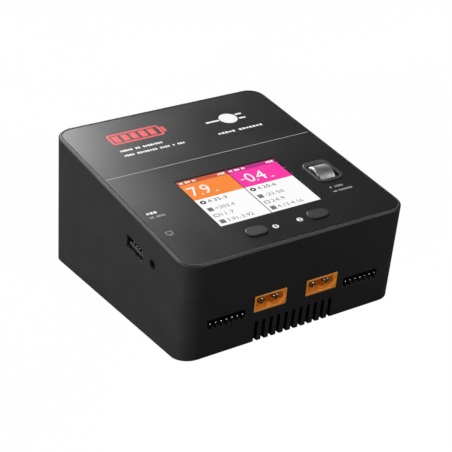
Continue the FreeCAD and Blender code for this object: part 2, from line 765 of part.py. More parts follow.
def roller_bezel():
    """A proud flange with an off-centre opening, and a sleeve that sits in the panel's hole."""
    centre = (BEZEL_U, BEZEL_V)
    flange = rounded_bar(centre, BEZEL_SIZE, BEZEL_CORNER, -PANEL_DROP, BEZEL_PROUD)
    flange = softened(flange, BEZEL_EDGE, lambda edge: level_edge(edge, BEZEL_PROUD))
    opening = rounded_bar((OPENING_U, OPENING_V), OPENING_SIZE, OPENING_CORNER, -1, 1)
    sleeve_size = grown(BEZEL_HOLE, -BEZEL_FIT)
    sleeve = rounded_bar(centre, sleeve_size, BEZEL_HOLE_CORNER - BEZEL_FIT, PANEL_BOTTOM, -PANEL_DROP)
    bore = rounded_bar(centre, SLEEVE_BORE, SLEEVE_BORE_CORNER, PANEL_BOTTOM - 1, 0)
    return joined([flange.cut(opening), sleeve.cut(bore)])


def foot_centres():
    return [(x, y) for x in (-FOOT_X, FOOT_X) for y in (FOOT_FRONT_Y, FOOT_REAR_Y)]


def rubber_feet():
    feet = []
    for centre in foot_centres():
        foot = rod("w", centre, FOOT_RADIUS, -FOOT_PROUD, FOOT_SUNK)
        feet.append(softened(foot, FOOT_EDGE, lambda edge: level_edge(edge, -FOOT_PROUD)))
    return Part.makeCompound(feet)


def pan_screw(centre, head_base, way, radius, length, head_radius, head_height):
    """A cross-head screw along w. The head's flat side is at head_base, its shank goes way."""
    u, v = centre
    shank_end = head_base + way * length
    head_end = head_base - way * head_height
    shank = rod("w", centre, radius, *sorted((head_base, shank_end)))
    head = rod("w", centre, head_radius, *sorted((head_base, head_end)))
    head = softened(head, 0.5, lambda edge: level_edge(edge, head_end))
    cross = []
    inside = head_end + way * head_height * 0.6
    depth = sorted((head_end - way, inside))
    for half_u, half_v in ((head_radius * 0.6, 0.3), (0.3, head_radius * 0.6)):
        cross.append(block((u - half_u, u + half_u), (v - half_v, v + half_v), depth))
    return joined([shank, head]).cut(cross)


def case_screws():
    screws = []
    for u, v in case_boss_centres():
        base = floor_w(v) + CUP_RISE - CUP_FLOOR
        size = (CASE_SCREW_RADIUS, CASE_SCREW_LENGTH, CASE_HEAD_RADIUS, CASE_HEAD_HEIGHT)
        screws.append(pan_screw((u, v), base, 1, *size))
    return Part.makeCompound(screws)


def board_screws():
    size = (BOARD_SCREW_RADIUS, BOARD_SCREW_LENGTH, BOARD_HEAD_RADIUS, BOARD_HEAD_HEIGHT)
    screws = []
    for u in (-CONTROL_POST_U, CONTROL_POST_U):
        for v in CONTROL_POST_V:
            screws.append(pan_screw((u, v), CONTROL_BOTTOM, 1, *size))
    for centre in CHARGE_SCREWS:
        screws.append(pan_screw(centre, CHARGE_BOTTOM, 1, *size))
    for centre in SUPPLY_SCREWS:
        screws.append(floor_to_case(pan_screw(centre, SUPPLY_TOP_Z, -1, *size)))
    return Part.makeCompound(screws)


# ---------------------------------------------------------------- display
def lcd_panel():
    """The display's glass, with a raised viewing area that stands in the panel's opening."""
    glass = block(LCD_U, LCD_V, (LCD_TOP - LCD_GLASS, LCD_TOP))
    view = display_opening(LCD_VIEW_GAP, LCD_TOP - LCD_GLASS / 2, LCD_VIEW_TOP)
    return joined([glass, view])


def lcd_backlight():
    top = LCD_TOP - LCD_GLASS
    return block(LCD_U, LCD_V, (top - LCD_LIGHT, top))


def widened(span, margin):
    return (span[0] - margin, span[1] + margin)


def display_holder():
    """A tray that carries the display on legs standing on the control board."""
    floor_top = LCD_TOP - LCD_GLASS - LCD_LIGHT
    below = (CONTROL_TOP - 1, floor_top - HOLDER_FLOOR)
    u = widened(LCD_U, HOLDER_LIP)
    v = widened(LCD_V, HOLDER_LIP)
    tray = block(u, v, (CONTROL_TOP, DECK_BOTTOM - 0.2))
    pocket = block(widened(LCD_U, HOLDER_FIT), widened(LCD_V, HOLDER_FIT), (floor_top, 0))
    under = block(widened(u, -HOLDER_WALL), widened(v, -HOLDER_WALL), below)
    middle = block(widened(u, -12), widened(v, -10), (CONTROL_TOP - 1, 0))
    side_gap = block(widened(u, 1), widened(v, -12), below)
    end_gap = block(widened(u, -14), widened(v, 1), below)
    return tray.cut([pocket, under, middle, side_gap, end_gap])


# ---------------------------------------------------------------- controls
def control_board():
    board = rounded_bar((0, CONTROL_V), CONTROL_SIZE, 2.0, CONTROL_BOTTOM, CONTROL_TOP)
    through = (CONTROL_BOTTOM - 1, CONTROL_TOP + 1)
    cuts = board_notches(CONTROL_NOTCH_U, through)
    for side in (-1, 1):
        for v in CONTROL_POST_V:
            cuts.append(rod("w", (side * CONTROL_POST_U, v), BOARD_SCREW_PASS, *through))
    well = (ROLLER_V - ROLLER_BOARD_HALF_DEPTH, ROLLER_V + ROLLER_BOARD_HALF_DEPTH)
    cuts.append(block(raised(ROLLER_BOARD_REACH, ROLLER_U), well, through))
    return board.cut(cuts)


def board_notches(start_u, through):
    """Clears a board's two front corners, where the case's screw posts pass."""
    notches = []
    for side in (-1, 1):
        span = sorted((side * start_u, side * BODY_WIDTH / 2))
        notches.append(block(span, (FRONT_FACE, BOARD_NOTCH_V), through))
    return notches


def push_button(side):
    centre = (side * BUTTON_U, BUTTON_V)
    size = (BUTTON_WIDTH, BUTTON_DEPTH)
    cap = round_ended_bar(centre, size, BUTTON_FLANGE_TOP, BUTTON_PROUD)
    cap = softened(cap, BUTTON_EDGE, lambda edge: level_edge(edge, BUTTON_PROUD))
    bottom = BUTTON_FLANGE_TOP - BUTTON_FLANGE_THICKNESS
    flange = round_ended_bar(centre, grown(size, BUTTON_FLANGE), bottom, BUTTON_FLANGE_TOP)
    stem = rod("w", centre, BUTTON_STEM_RADIUS, BUTTON_STEM_END, bottom)
    return joined([cap, flange, stem])


def tact_switch(centre, low, high, plunger_low):
    """A small square key switch with a well for its plunger."""
    half = SWITCH_SIZE / 2
    u = (centre[0] - half, centre[0] + half)
    v = (centre[1] - half, centre[1] + half)
    body = block(u, v, (low, high))
    well = rod("w", centre, PLUNGER_HOLE, plunger_low - 2 * BUTTON_TRAVEL, high + 1)
    return body.cut(well)


def button_switches():
    low = BUTTON_STEM_END - PLUNGER_DEPTH
    pair = []
    for side in (-1, 1):
        pair.append(tact_switch((side * BUTTON_U, BUTTON_V), CONTROL_TOP, SWITCH_TOP, low))
    return Part.makeCompound(pair)


def button_plunger(side):
    low = BUTTON_STEM_END - PLUNGER_DEPTH
    return rod("w", (side * BUTTON_U, BUTTON_V), PLUNGER_RADIUS, low, BUTTON_STEM_END)


def roller():
    """The menu wheel: rounded rims, a bore for its shaft and a shallow dish in each end."""
    axle = (ROLLER_V, ROLLER_W)
    half = ROLLER_WIDTH / 2
    ends = (ROLLER_U - half, ROLLER_U + half)
    wheel = rod("u", axle, ROLLER_RADIUS, *ends)
    wheel = softened(wheel, ROLLER_EDGE, lambda edge: any(level_edge(edge, end, "x") for end in ends))
    bore = rod("u", axle, SHAFT_RADIUS, ends[0] - 1, ends[1] + 1)
    dishes = []
    for end, way in ((ends[0], 1), (ends[1], -1)):
        depth = sorted((end - way, end + way * ROLLER_DISH_DEPTH))
        ring = rod("u", axle, ROLLER_RADIUS - ROLLER_DISH_RING, *depth)
        core = rod("u", axle, ROLLER_DISH_CORE, *depth)
        dishes.append(ring.cut(core))
    return wheel.cut([bore, *dishes])


def roller_shaft():
    return rod("u", (ROLLER_V, ROLLER_W), SHAFT_RADIUS, SHAFT_LEFT, SHAFT_RIGHT)


def encoder_disc():
    axle = (ROLLER_V, ROLLER_W)
    right = SHAFT_RIGHT - 0.05
    disc = rod("u", axle, ENCODER_DISC_RADIUS, right - ENCODER_DISC_THICKNESS, right)
    return disc.cut(rod("u", axle, SHAFT_RADIUS, right - 2, right + 1))


def roller_arms():
    """The inner and outer face of the carrier's two arms."""
    reach = ROLLER_WIDTH / 2 + CARRIER_GAP
    left = (ROLLER_U - reach - CARRIER_ARM, ROLLER_U - reach)
    right = (ROLLER_U + reach, ROLLER_U + reach + CARRIER_ARM)
    return left, right


def roller_carrier():
    left, right = roller_arms()
    depth = (ROLLER_V - CARRIER_HALF_DEPTH, ROLLER_V + CARRIER_HALF_DEPTH)
    floor = block((left[0], right[1]), depth, (CARRIER_FLOOR_BOTTOM, CARRIER_FLOOR_TOP))
    arms = []
    for arm in (left, right):
        arms.append(block(arm, depth, (CARRIER_FLOOR_BOTTOM, CARRIER_TOP)))
    radius = SHAFT_RADIUS + SHAFT_CLEARANCE
    bores = rod("u", (ROLLER_V, ROLLER_W), radius, left[0] - 1, right[1] + 1)
    return joined([floor, *arms]).cut(bores)


def roller_frame():
    """Two fixed cheeks that guide the carrier up and down, with slots for the shaft's ends."""
    left, right = roller_arms()
    cheeks = (
        (left[0] - FRAME_GAP - FRAME_CHEEK, left[0] - FRAME_GAP),
        (right[1] + FRAME_GAP, right[1] + FRAME_GAP + FRAME_CHEEK),
    )
    half = CARRIER_HALF_DEPTH + FRAME_GAP + FRAME_CHEEK
    depth = (ROLLER_V - half, ROLLER_V + half)
    parts = []
    for cheek in cheeks:
        parts.append(block(cheek, depth, (ENCODER_BOARD_TOP, CARRIER_TOP)))
    for end in (-1, 1):
        span = sorted((ROLLER_V + end * half, ROLLER_V + end * (half - FRAME_CHEEK)))
        parts.append(block((cheeks[0][0], cheeks[1][1]), span, (ENCODER_BOARD_TOP, CARRIER_FLOOR_TOP)))
    reach, thickness = FRAME_EAR
    for inner, outer in ((cheeks[0][0], cheeks[0][0] - reach), (cheeks[1][1], cheeks[1][1] + reach)):
        ear = block(sorted((inner, outer)), depth, (CONTROL_BOTTOM - thickness, CONTROL_BOTTOM))
        parts.append(ear)
    slot_half = SHAFT_RADIUS + FRAME_SLOT_GAP
    levels = (ROLLER_W - SHAFT_RADIUS - 2 * BUTTON_TRAVEL, ROLLER_W + slot_half)
    across = (cheeks[0][0] - 1, cheeks[1][1] + 1)
    slot = block(across, (ROLLER_V - slot_half, ROLLER_V + slot_half), levels)
    return joined(parts).cut(slot)


def roller_switch():
    low = CARRIER_FLOOR_BOTTOM - PLUNGER_DEPTH
    top = CARRIER_FLOOR_BOTTOM - ROLLER_SWITCH_GAP
    return tact_switch((ROLLER_U, ROLLER_V), ENCODER_BOARD_TOP, top, low)


def roller_plunger():
    low = CARRIER_FLOOR_BOTTOM - PLUNGER_DEPTH
    return rod("w", (ROLLER_U, ROLLER_V), PLUNGER_RADIUS, low, CARRIER_FLOOR_BOTTOM)


def encoder_board():
    low = ENCODER_BOARD_TOP - ENCODER_BOARD_THICKNESS
    return rounded_bar((ROLLER_U, ROLLER_V), ENCODER_BOARD_SIZE, 0.8, low, ENCODER_BOARD_TOP)


def buzzer():
    low = CONTROL_BOTTOM - BUZZER_HEIGHT
    can = rod("w", BUZZER_CENTRE, BUZZER_RADIUS, low, CONTROL_BOTTOM)
    can = softened(can, 0.4, lambda edge: level_edge(edge, low))
    return can.cut(rod("w", BUZZER_CENTRE, 1.0, low - 1, CONTROL_BOTTOM - 2))


def processor():
    low = CONTROL_BOTTOM - PROCESSOR_HEIGHT
    return rounded_bar(PROCESSOR_CENTRE, PROCESSOR_SIZE, 0.3, low, CONTROL_BOTTOM)


# ---------------------------------------------------------------- left side sockets
def usb_shell():
    """The socket's folded metal shell, open at the front, with two tabs up to the board."""
    outer = rounded_bar((USB_V, USB_W), USB_SHELL, USB_CORNERS[0], USB_FRONT, USB_BACK, "u")
    size = grown(USB_SHELL, -USB_METAL)
    inner = rounded_bar((USB_V, USB_W), size, USB_CORNERS[1], USB_FRONT - 1, USB_BACK - USB_METAL, "u")
    start, end, half = USB_TAB
    tabs = []
    for v in (USB_V - USB_TAB_SPREAD, USB_V + USB_TAB_SPREAD):
        levels = (USB_W + USB_SHELL[1] / 2 - 0.1, CONTROL_BOTTOM)
        tabs.append(block((USB_BACK - start, USB_BACK - end), (v - half, v + half), levels))
    return joined([outer.cut(inner), *tabs])


def usb_tongue():
    """The insulator: a block at the back with the flat tongue that carries the contacts."""
    back = USB_BACK - USB_METAL
    size = grown(USB_SHELL, -USB_METAL)
    rear = rounded_bar((USB_V, USB_W), size, USB_CORNERS[1], back - USB_REAR_LENGTH, back, "u")
    front = USB_FRONT + USB_TONGUE_RECESS
    v = (USB_V - USB_TONGUE_HALF_WIDTH, USB_V + USB_TONGUE_HALF_WIDTH)
    tongue = block((front, back - USB_REAR_LENGTH + 0.1), v, raised(USB_TONGUE_SPAN, USB_W))
    tongue = softened(tongue, USB_TONGUE_EDGE, lambda edge: level_edge(edge, front, "x"), sharp=True)
    return joined([rear, tongue])


def usb_contacts():
    """Four strips along the upper side of the tongue."""
    start = USB_FRONT + USB_CONTACT_START
    back = USB_BACK - USB_METAL - USB_REAR_LENGTH
    top = USB_W + USB_TONGUE_SPAN[1]
    strips = []
    for offset in USB_CONTACTS:
        v = (USB_V + offset - USB_CONTACT_HALF_WIDTH, USB_V + offset + USB_CONTACT_HALF_WIDTH)
        strips.append(block((start, back), v, (top, top + USB_CONTACT_THICKNESS)))
    return Part.makeCompound(strips)


def link_jack():
    """A round 3.5 mm jack: a nose in the wall and a body hung under the control board."""
    mouth = LEFT_FACE + JACK_RECESS
    body_start = LEFT_INNER + 0.1
    nose = rod("u", (JACK_V, JACK_W), JACK_NOSE_RADIUS, mouth, body_start + JACK_RECESS)
    centre = (JACK_V, CONTROL_BOTTOM - JACK_BODY[1] / 2)
    end = body_start + JACK_BODY_LENGTH
    body = rounded_bar(centre, JACK_BODY, JACK_BODY_CORNER, body_start, end, "u")
    bore = rod("u", (JACK_V, JACK_W), JACK_BORE_RADIUS, mouth - 1, mouth + JACK_BORE_LENGTH)
    return joined([nose, body]).cut(bore)


# ---------------------------------------------------------------- charge board and front sockets
def charge_board():
    front = FRONT_INNER + CHARGE_FRONT_GAP
    size = (CHARGE_WIDTH, CHARGE_REAR - front)
    board = rounded_bar((0, (front + CHARGE_REAR) / 2), size, 1.5, CHARGE_BOTTOM, CHARGE_TOP)
    through = (CHARGE_BOTTOM - 1, CHARGE_TOP + 1)
    cuts = board_notches(CHARGE_NOTCH_U, through)
    for centre in CHARGE_SCREWS:
        cuts.append(rod("w", centre, BOARD_SCREW_PASS, *through))
    return board.cut(cuts)


def outlet_back():
    return FRONT_FACE - OUTLET_PROUD + OUTLET_LENGTH


def power_outlet(side):
    """A two-pin battery outlet: an open-fronted sleeve whose cavity is keyed at one end."""
    u = side * OUTLET_U
    front = FRONT_FACE - OUTLET_PROUD
    size = (OUTLET_WIDTH, OUTLET_HEIGHT)
    body = rounded_bar((u, OUTLET_W), size, OUTLET_CORNER, front, outlet_back(), "v")
    body = softened(body, OUTLET_EDGE, lambda edge: level_edge(edge, front, "y"))
    half_u = OUTLET_CAVITY_WIDTH / 2
    half_w = OUTLET_CAVITY_HEIGHT / 2
    key = OUTLET_CAVITY_CHAMFER
    outline = [
        (u - half_u, OUTLET_W - half_w),
        (u + half_u - key, OUTLET_W - half_w),
        (u + half_u, OUTLET_W - half_w + key),
        (u + half_u, OUTLET_W + half_w - key),
        (u + half_u - key, OUTLET_W + half_w),
        (u - half_u, OUTLET_W + half_w),
    ]
    cavity = polygon_bar(outline, front - 1, front + OUTLET_CAVITY_DEPTH, "v")
    foot_half, foot_length = OUTLET_FOOT
    foot_levels = (CHARGE_TOP, OUTLET_W - OUTLET_HEIGHT / 2 + 0.5)
    foot_reach = (outlet_back() - foot_length, outlet_back())
    foot = block((u - foot_half, u + foot_half), foot_reach, foot_levels)
    latch = polygon_bar(OUTLET_LATCH, 0, OUTLET_LATCH_LENGTH, "v")
    latch.translate(Vector(u, front + 0.5, OUTLET_W - half_w))
    body = joined([body.cut(cavity), foot, latch])
    bores = []
    for end in (-1, 1):
        centre = (u + end * OUTLET_PIN_PITCH / 2, OUTLET_W)
        bores.append(rod("v", centre, OUTLET_PIN_RADIUS + PIN_COLLAR, front + 1, outlet_back() + 1))
    return body.cut(bores)


def outlet_pins(side):
    """Two bullet contacts with split round tips, thicker inside the housing, and their legs."""
    tip = FRONT_FACE + OUTLET_PIN_RECESS
    floor = FRONT_FACE - OUTLET_PROUD + OUTLET_CAVITY_DEPTH
    tail = outlet_back() + 0.1 + PIN_LEG
    split_length, split_width = OUTLET_PIN_SPLIT
    split_levels = (OUTLET_W - split_width / 2, OUTLET_W + split_width / 2)
    pins = []
    for end in (-1, 1):
        u = side * OUTLET_U + end * OUTLET_PIN_PITCH / 2
        bullet = rod("v", (u, OUTLET_W), OUTLET_PIN_RADIUS, tip, floor)
        bullet = softened(bullet, OUTLET_PIN_ROUND, lambda edge: level_edge(edge, tip, "y"))
        split = block((u - 3, u + 3), (tip - 1, tip + split_length), split_levels)
        collar = rod("v", (u, OUTLET_W), OUTLET_PIN_RADIUS + PIN_COLLAR, floor, tail)
        leg = block((u - 1.0, u + 1.0), (tail - PIN_LEG, tail), (CHARGE_TOP, OUTLET_W))
        pins.append(joined([bullet.cut(split), collar, leg]))
    return Part.makeCompound(pins)


def balance_port(side):
    """A shrouded header whose cavity lines up with the opening in the wall."""
    centre = (side * BALANCE_U, BALANCE_W)
    front = FRONT_INNER + BALANCE_BODY_GAP
    back = front + BALANCE_BODY_DEPTH
    half_width = BALANCE_BODY_WIDTH / 2
    top = BALANCE_W + BALANCE_OPENING[1] / 2 + BALANCE_BODY_ROOF
    body = block((centre[0] - half_width, centre[0] + half_width), (front, back), (CHARGE_TOP, top))
    floor = front + BALANCE_CAVITY_DEPTH
    cavity = rounded_bar(centre, BALANCE_OPENING, BALANCE_CORNER, front - 1, floor, "v")
    bores = []
    for u in balance_pin_positions(side):
        half = BALANCE_PIN / 2
        reach = (BALANCE_PIN_W - half, BALANCE_PIN_W + half)
        bores.append(block((u - half, u + half), (front, back + 1), reach))
    return body.cut([cavity, *bores])


def balance_pin_positions(side):
    middle = (BALANCE_PINS - 1) / 2
    return [side * BALANCE_U + (i - middle) * BALANCE_PITCH for i in range(BALANCE_PINS)]


def balance_pins(side):
    tip = FRONT_FACE + BALANCE_PIN_RECESS
    tail = FRONT_INNER + BALANCE_BODY_GAP + BALANCE_BODY_DEPTH + 0.4 + BALANCE_LEG
    half = BALANCE_PIN / 2
    reach = (BALANCE_PIN_W - half, BALANCE_PIN_W + half)
    pins = []
    for u in balance_pin_positions(side):
        across = (u - half, u + half)
        pin = block(across, (tip, tail), reach)
        pin = softened(pin, BALANCE_PIN_TIP, lambda edge: level_edge(edge, tip, "y"), sharp=True)
        leg = block(across, (tail - BALANCE_LEG, tail), (CHARGE_TOP, reach[0] + 0.1))
        pins.append(joined([pin, leg]))
    return Part.makeCompound(pins)


def charge_positions(u, rows):
    return [(side * u, v) for side in (-1, 1) for v in rows]


def inductor_cores():
    bottom, middle, top = (CHARGE_TOP + level for level in INDUCTOR_LEVELS)
    cores = []
    for centre in charge_positions(INDUCTOR_U, INDUCTOR_V):
        lower = rod("w", centre, INDUCTOR_RADIUS, CHARGE_TOP, bottom)
        post = rod("w", centre, INDUCTOR_POST_RADIUS, bottom, middle)
        upper = rod("w", centre, INDUCTOR_RADIUS, middle, top)
        cores.append(joined([lower, post, upper]))
    return Part.makeCompound(cores)


def inductor_coils():
    low, high = raised(INDUCTOR_LEVELS[:2], CHARGE_TOP)
    coils = []
    for centre in charge_positions(INDUCTOR_U, INDUCTOR_V):
        ring = rod("w", centre, INDUCTOR_COIL_RADIUS, low, high)
        coils.append(ring.cut(rod("w", centre, INDUCTOR_POST_RADIUS, low - 1, high + 1)))
    return Part.makeCompound(coils)


def charge_transistors():
    top = CHARGE_TOP + TRANSISTOR_HEIGHT
    chips = []
    for centre in charge_positions(TRANSISTOR_U, TRANSISTOR_V):
        chips.append(rounded_bar(centre, TRANSISTOR_SIZE, 0.2, CHARGE_TOP, top))
    return Part.makeCompound(chips)


def capacitor_can(centre, radius, low, high):
    """A can with a rounded top edge and the crimped groove near its foot."""
    can = rod("w", centre, radius, low, high)
    can = softened(can, CAN_EDGE, lambda edge: level_edge(edge, high))
    groove = rod("w", centre, radius + 1, *raised(CAN_GROOVE, low))
    return can.cut(groove.cut(rod("w", centre, radius - CAN_GROOVE_DEPTH, low, high)))


def output_capacitors():
    top = CHARGE_TOP + CAPACITOR_HEIGHT
    cans = []
    for centre in charge_positions(CAPACITOR_U, CAPACITOR_V):
        cans.append(capacitor_can(centre, CAPACITOR_RADIUS, CHARGE_TOP, top))
    return Part.makeCompound(cans)


def ribbon_cable():
    """A flat cable that bows between the control board and the charge board."""
    near = CHARGE_REAR - RIBBON_INSET
    far = near + RIBBON_THICKNESS
    top, low = CONTROL_BOTTOM, CHARGE_TOP
    middle = (top + low) / 2
    arcs = []
    for v in (near, far):
        bulge = Vector(v + RIBBON_BOW, middle, 0)
        arcs.append(Part.Arc(Vector(v, top, 0), bulge, Vector(v, low, 0)).toShape())
    ends = [Part.makeLine(Vector(near, w, 0), Vector(far, w, 0)) for w in (low, top)]
    outline = Part.Wire(Part.__sortEdges__(arcs + ends))
    return pulled(Part.Face(outline), -RIBBON_HALF_WIDTH, RIBBON_HALF_WIDTH, "u")


# ---------------------------------------------------------------- mains side
def supply_board():
    size = (2 * SUPPLY_HALF_WIDTH, SUPPLY_REAR_Y - SUPPLY_FRONT_Y)
    centre = (0, (SUPPLY_FRONT_Y + SUPPLY_REAR_Y) / 2)
    board = rounded_bar(centre, size, 1.5, SUPPLY_Z, SUPPLY_TOP_Z)
    through = (SUPPLY_Z - 1, SUPPLY_TOP_Z + 1)
    return board.cut([rod("w", xy, BOARD_SCREW_PASS, *through) for xy in SUPPLY_SCREWS])


def inlet_pin_positions():
    return [(INLET_U + end * INLET_PIN_PITCH / 2, INLET_W) for end in (-1, 1)]


def mains_inlet():
    """A two-pin mains inlet: a flush face, a flange behind the wall and an oval well."""
    centre = (INLET_U, INLET_W)
    size = (INLET_WIDTH, INLET_HEIGHT)
    rear = REAR_FACE - INLET_LENGTH
    face = rounded_bar(centre, size, INLET_CORNER, REAR_INNER - 1, REAR_FACE - 0.05, "v")
    flange_size = (INLET_WIDTH + INLET_FLANGE[0], INLET_HEIGHT + INLET_FLANGE[1])
    flange_end = REAR_INNER - 0.05
    flange_start = flange_end - INLET_FLANGE_THICKNESS
    flange = rounded_bar(centre, flange_size, 2.0, flange_start, flange_end, "v")
    body = rounded_bar(centre, (INLET_WIDTH - 2, INLET_HEIGHT - 1), 3.0, rear, REAR_INNER - 1, "v")
    floor = REAR_FACE - INLET_CAVITY_DEPTH
    cuts = [round_ended_bar(centre, INLET_CAVITY, floor, REAR_FACE + 1, "v")]
    for spot in inlet_pin_positions():
        cuts.append(rod("v", spot, INLET_PIN_RADIUS + PIN_COLLAR, rear - 1, REAR_FACE - 2))
    return joined([face, flange, body]).cut(cuts)


def inlet_pins():
    """Two round pins with eased tips, held by a thicker collar in the inlet's body."""
    rear = REAR_FACE - INLET_LENGTH - INLET_PIN_TAIL
    tip = REAR_FACE - INLET_PIN_RECESS
    floor = REAR_FACE - INLET_CAVITY_DEPTH
    pins = []
    for spot in inlet_pin_positions():
        pin = rod("v", spot, INLET_PIN_RADIUS, floor, tip)
        pin = softened(pin, INLET_PIN_ROUND, lambda edge: level_edge(edge, tip, "y"))
        collar = rod("v", spot, INLET_PIN_RADIUS + PIN_COLLAR, rear, floor)
        pins.append(joined([pin, collar]))
    return Part.makeCompound(pins)


def mains_leads():
    """Two wires from the inlet's pins down to the supply board."""
    start_v = REAR_FACE - INLET_LENGTH - INLET_PIN_TAIL
    leads = []
    for u, w in inlet_pin_positions():
        start = Vector(u, start_v, w)
        stop = floor_point(u, MAINS_LEAD_END_Y, SUPPLY_TOP_Z)
        middle = Vector(u, start_v - 5.5, w - 7.0)
        ways = (Vector(0, -1, 0), floor_vector(0, 0, -1))
        leads.append(spline_lead(start, ways[0], stop, ways[1], [middle], MAINS_LEAD_RADIUS))
    return Part.makeCompound(leads)


def supply_leads():
    """Two wires that carry the supply's output up to the charge board."""
    start_y, stop_v = SUPPLY_LEAD_ENDS
    leads = []
    for x in SUPPLY_LEADS_X:
        start = floor_point(x, start_y, SUPPLY_TOP_Z)
        stop = Vector(x, stop_v, CHARGE_BOTTOM)
        middle = Vector(x, -3.5, (start.z + CHARGE_BOTTOM) / 2)
        ways = (floor_vector(0, 0, 1), Vector(0, 0, 1))
        leads.append(spline_lead(start, ways[0], stop, ways[1], [middle], SUPPLY_LEAD_RADIUS))
    return Part.makeCompound(leads)


def input_fuse():
    """A tube fuse with an end cap and a stand at each end."""
    centre = (FUSE_Y, SUPPLY_TOP_Z + FUSE_RISE)
    pieces = [rod("u", centre, *FUSE_TUBE)]
    for low in FUSE_CAPS_X:
        pieces.append(rod("u", centre, FUSE_CAP_RADIUS, low, low + FUSE_CAP_LENGTH))
        across = (low + 1.5, low + 3.5)
        pieces.append(block(across, (FUSE_Y - 1, FUSE_Y + 1), (SUPPLY_TOP_Z, SUPPLY_TOP_Z + 2)))
    return joined(pieces)


def line_choke():
    """A common-mode choke: a ring core standing on a carrier, with two windings."""
    centre = (CHOKE_Y, SUPPLY_TOP_Z + CHOKE_RISE)
    ring = rod("u", centre, CHOKE_RADII[0], *CHOKE_SPAN)
    ring = ring.cut(rod("u", centre, CHOKE_RADII[1], *widened(CHOKE_SPAN, 1)))
    carrier = block(*CHOKE_CARRIER, (SUPPLY_TOP_Z, SUPPLY_TOP_Z + CHOKE_CARRIER_HEIGHT))
    windings = []
    for side in (-1, 1):
        span = sorted(CHOKE_Y + side * radius for radius in CHOKE_WINDING_RADII)
        levels = raised(CHOKE_WINDING_LEVELS, SUPPLY_TOP_Z)
        windings.append(block(CHOKE_WINDING_SPAN, span, levels))
    return joined([ring, carrier, *windings])


def bridge_rectifier():
    body = block(*RECTIFIER_SPAN, raised(RECTIFIER_LEVELS, SUPPLY_TOP_Z))
    legs = []
    for x in RECTIFIER_LEGS_X:
        leg_top = SUPPLY_TOP_Z + RECTIFIER_LEVELS[0] + 0.5
        legs.append(block((x - 0.5, x + 0.5), (27.3, 28.3), (SUPPLY_TOP_Z, leg_top)))
    return joined([body, *legs])


def bulk_capacitor():
    top = SUPPLY_TOP_Z + BULK_CAPACITOR_HEIGHT
    return capacitor_can(BULK_CAPACITOR, BULK_CAPACITOR_RADIUS, SUPPLY_TOP_Z, top)


def transformer_core():
    """A block with two windows, so that it is two outer limbs and a middle limb."""
    x, y = TRANSFORMER
    half_x, half_y = TRANSFORMER_HALF
    levels = raised(TRANSFORMER_LEVELS, SUPPLY_TOP_Z)
    body = block((x - half_x, x + half_x), (y - half_y, y + half_y), levels)
    windows = []
    for side in (-1, 1):
        span = sorted(x + side * reach for reach in TRANSFORMER_WINDOW)
        windows.append(block(span, (y - 6, y + 6), widened(levels, -TRANSFORMER_YOKE)))
    return body.cut(windows)


def transformer_coil():
    """The winding around the middle limb, on four legs."""
    x, y = TRANSFORMER
    limb = TRANSFORMER_WINDOW[0]
    low, high = raised(TRANSFORMER_COIL_LEVELS, SUPPLY_TOP_Z)
    coil = rounded_bar((x, y), TRANSFORMER_COIL, 4.0, low, high)
    half_y = TRANSFORMER_HALF[1]
    core = block((x - limb, x + limb), (y - half_y, y + half_y), (low - 1, high + 1))
    pillars = []
    for side in (-1, 1):
        for end in (-1, 1):
            spot = (x + side * TRANSFORMER_PINS[0], y + end * TRANSFORMER_PINS[1])
            pillars.append(rod("w", spot, 1.0, SUPPLY_TOP_Z, low + 1))
    return joined([coil, *pillars]).cut(core)


def heat_sinks():
    """Two finned plates standing on the supply board, in the fan's draught."""
    sinks = []
    for x, front, rear in HEAT_SINKS:
        depth = (front, rear)
        levels = (SUPPLY_TOP_Z, SUPPLY_TOP_Z + HEAT_SINK_HEIGHT)
        pieces = [block((x, x + HEAT_SINK_PLATE), depth, levels)]
        for i in range(HEAT_SINK_FINS):
            z = SUPPLY_TOP_Z + 2 + i * HEAT_SINK_FIN_PITCH
            reach = (x + HEAT_SINK_PLATE - 0.1, x + HEAT_SINK_REACH)
            pieces.append(block(reach, depth, (z, z + HEAT_SINK_FIN)))
        sinks.append(joined(pieces))
    return Part.makeCompound(sinks)


# ---------------------------------------------------------------- fan
def fan_placed(shape):
    """Puts a shape drawn around the fan's axis, with the outflow along +z, into the case."""
    shape.rotate(Vector(0, 0, 0), Vector(1, 0, 0), -90)
    shape.translate(Vector(FAN_U, REAR_INNER - FAN_DEPTH, FAN_W))
    return shape


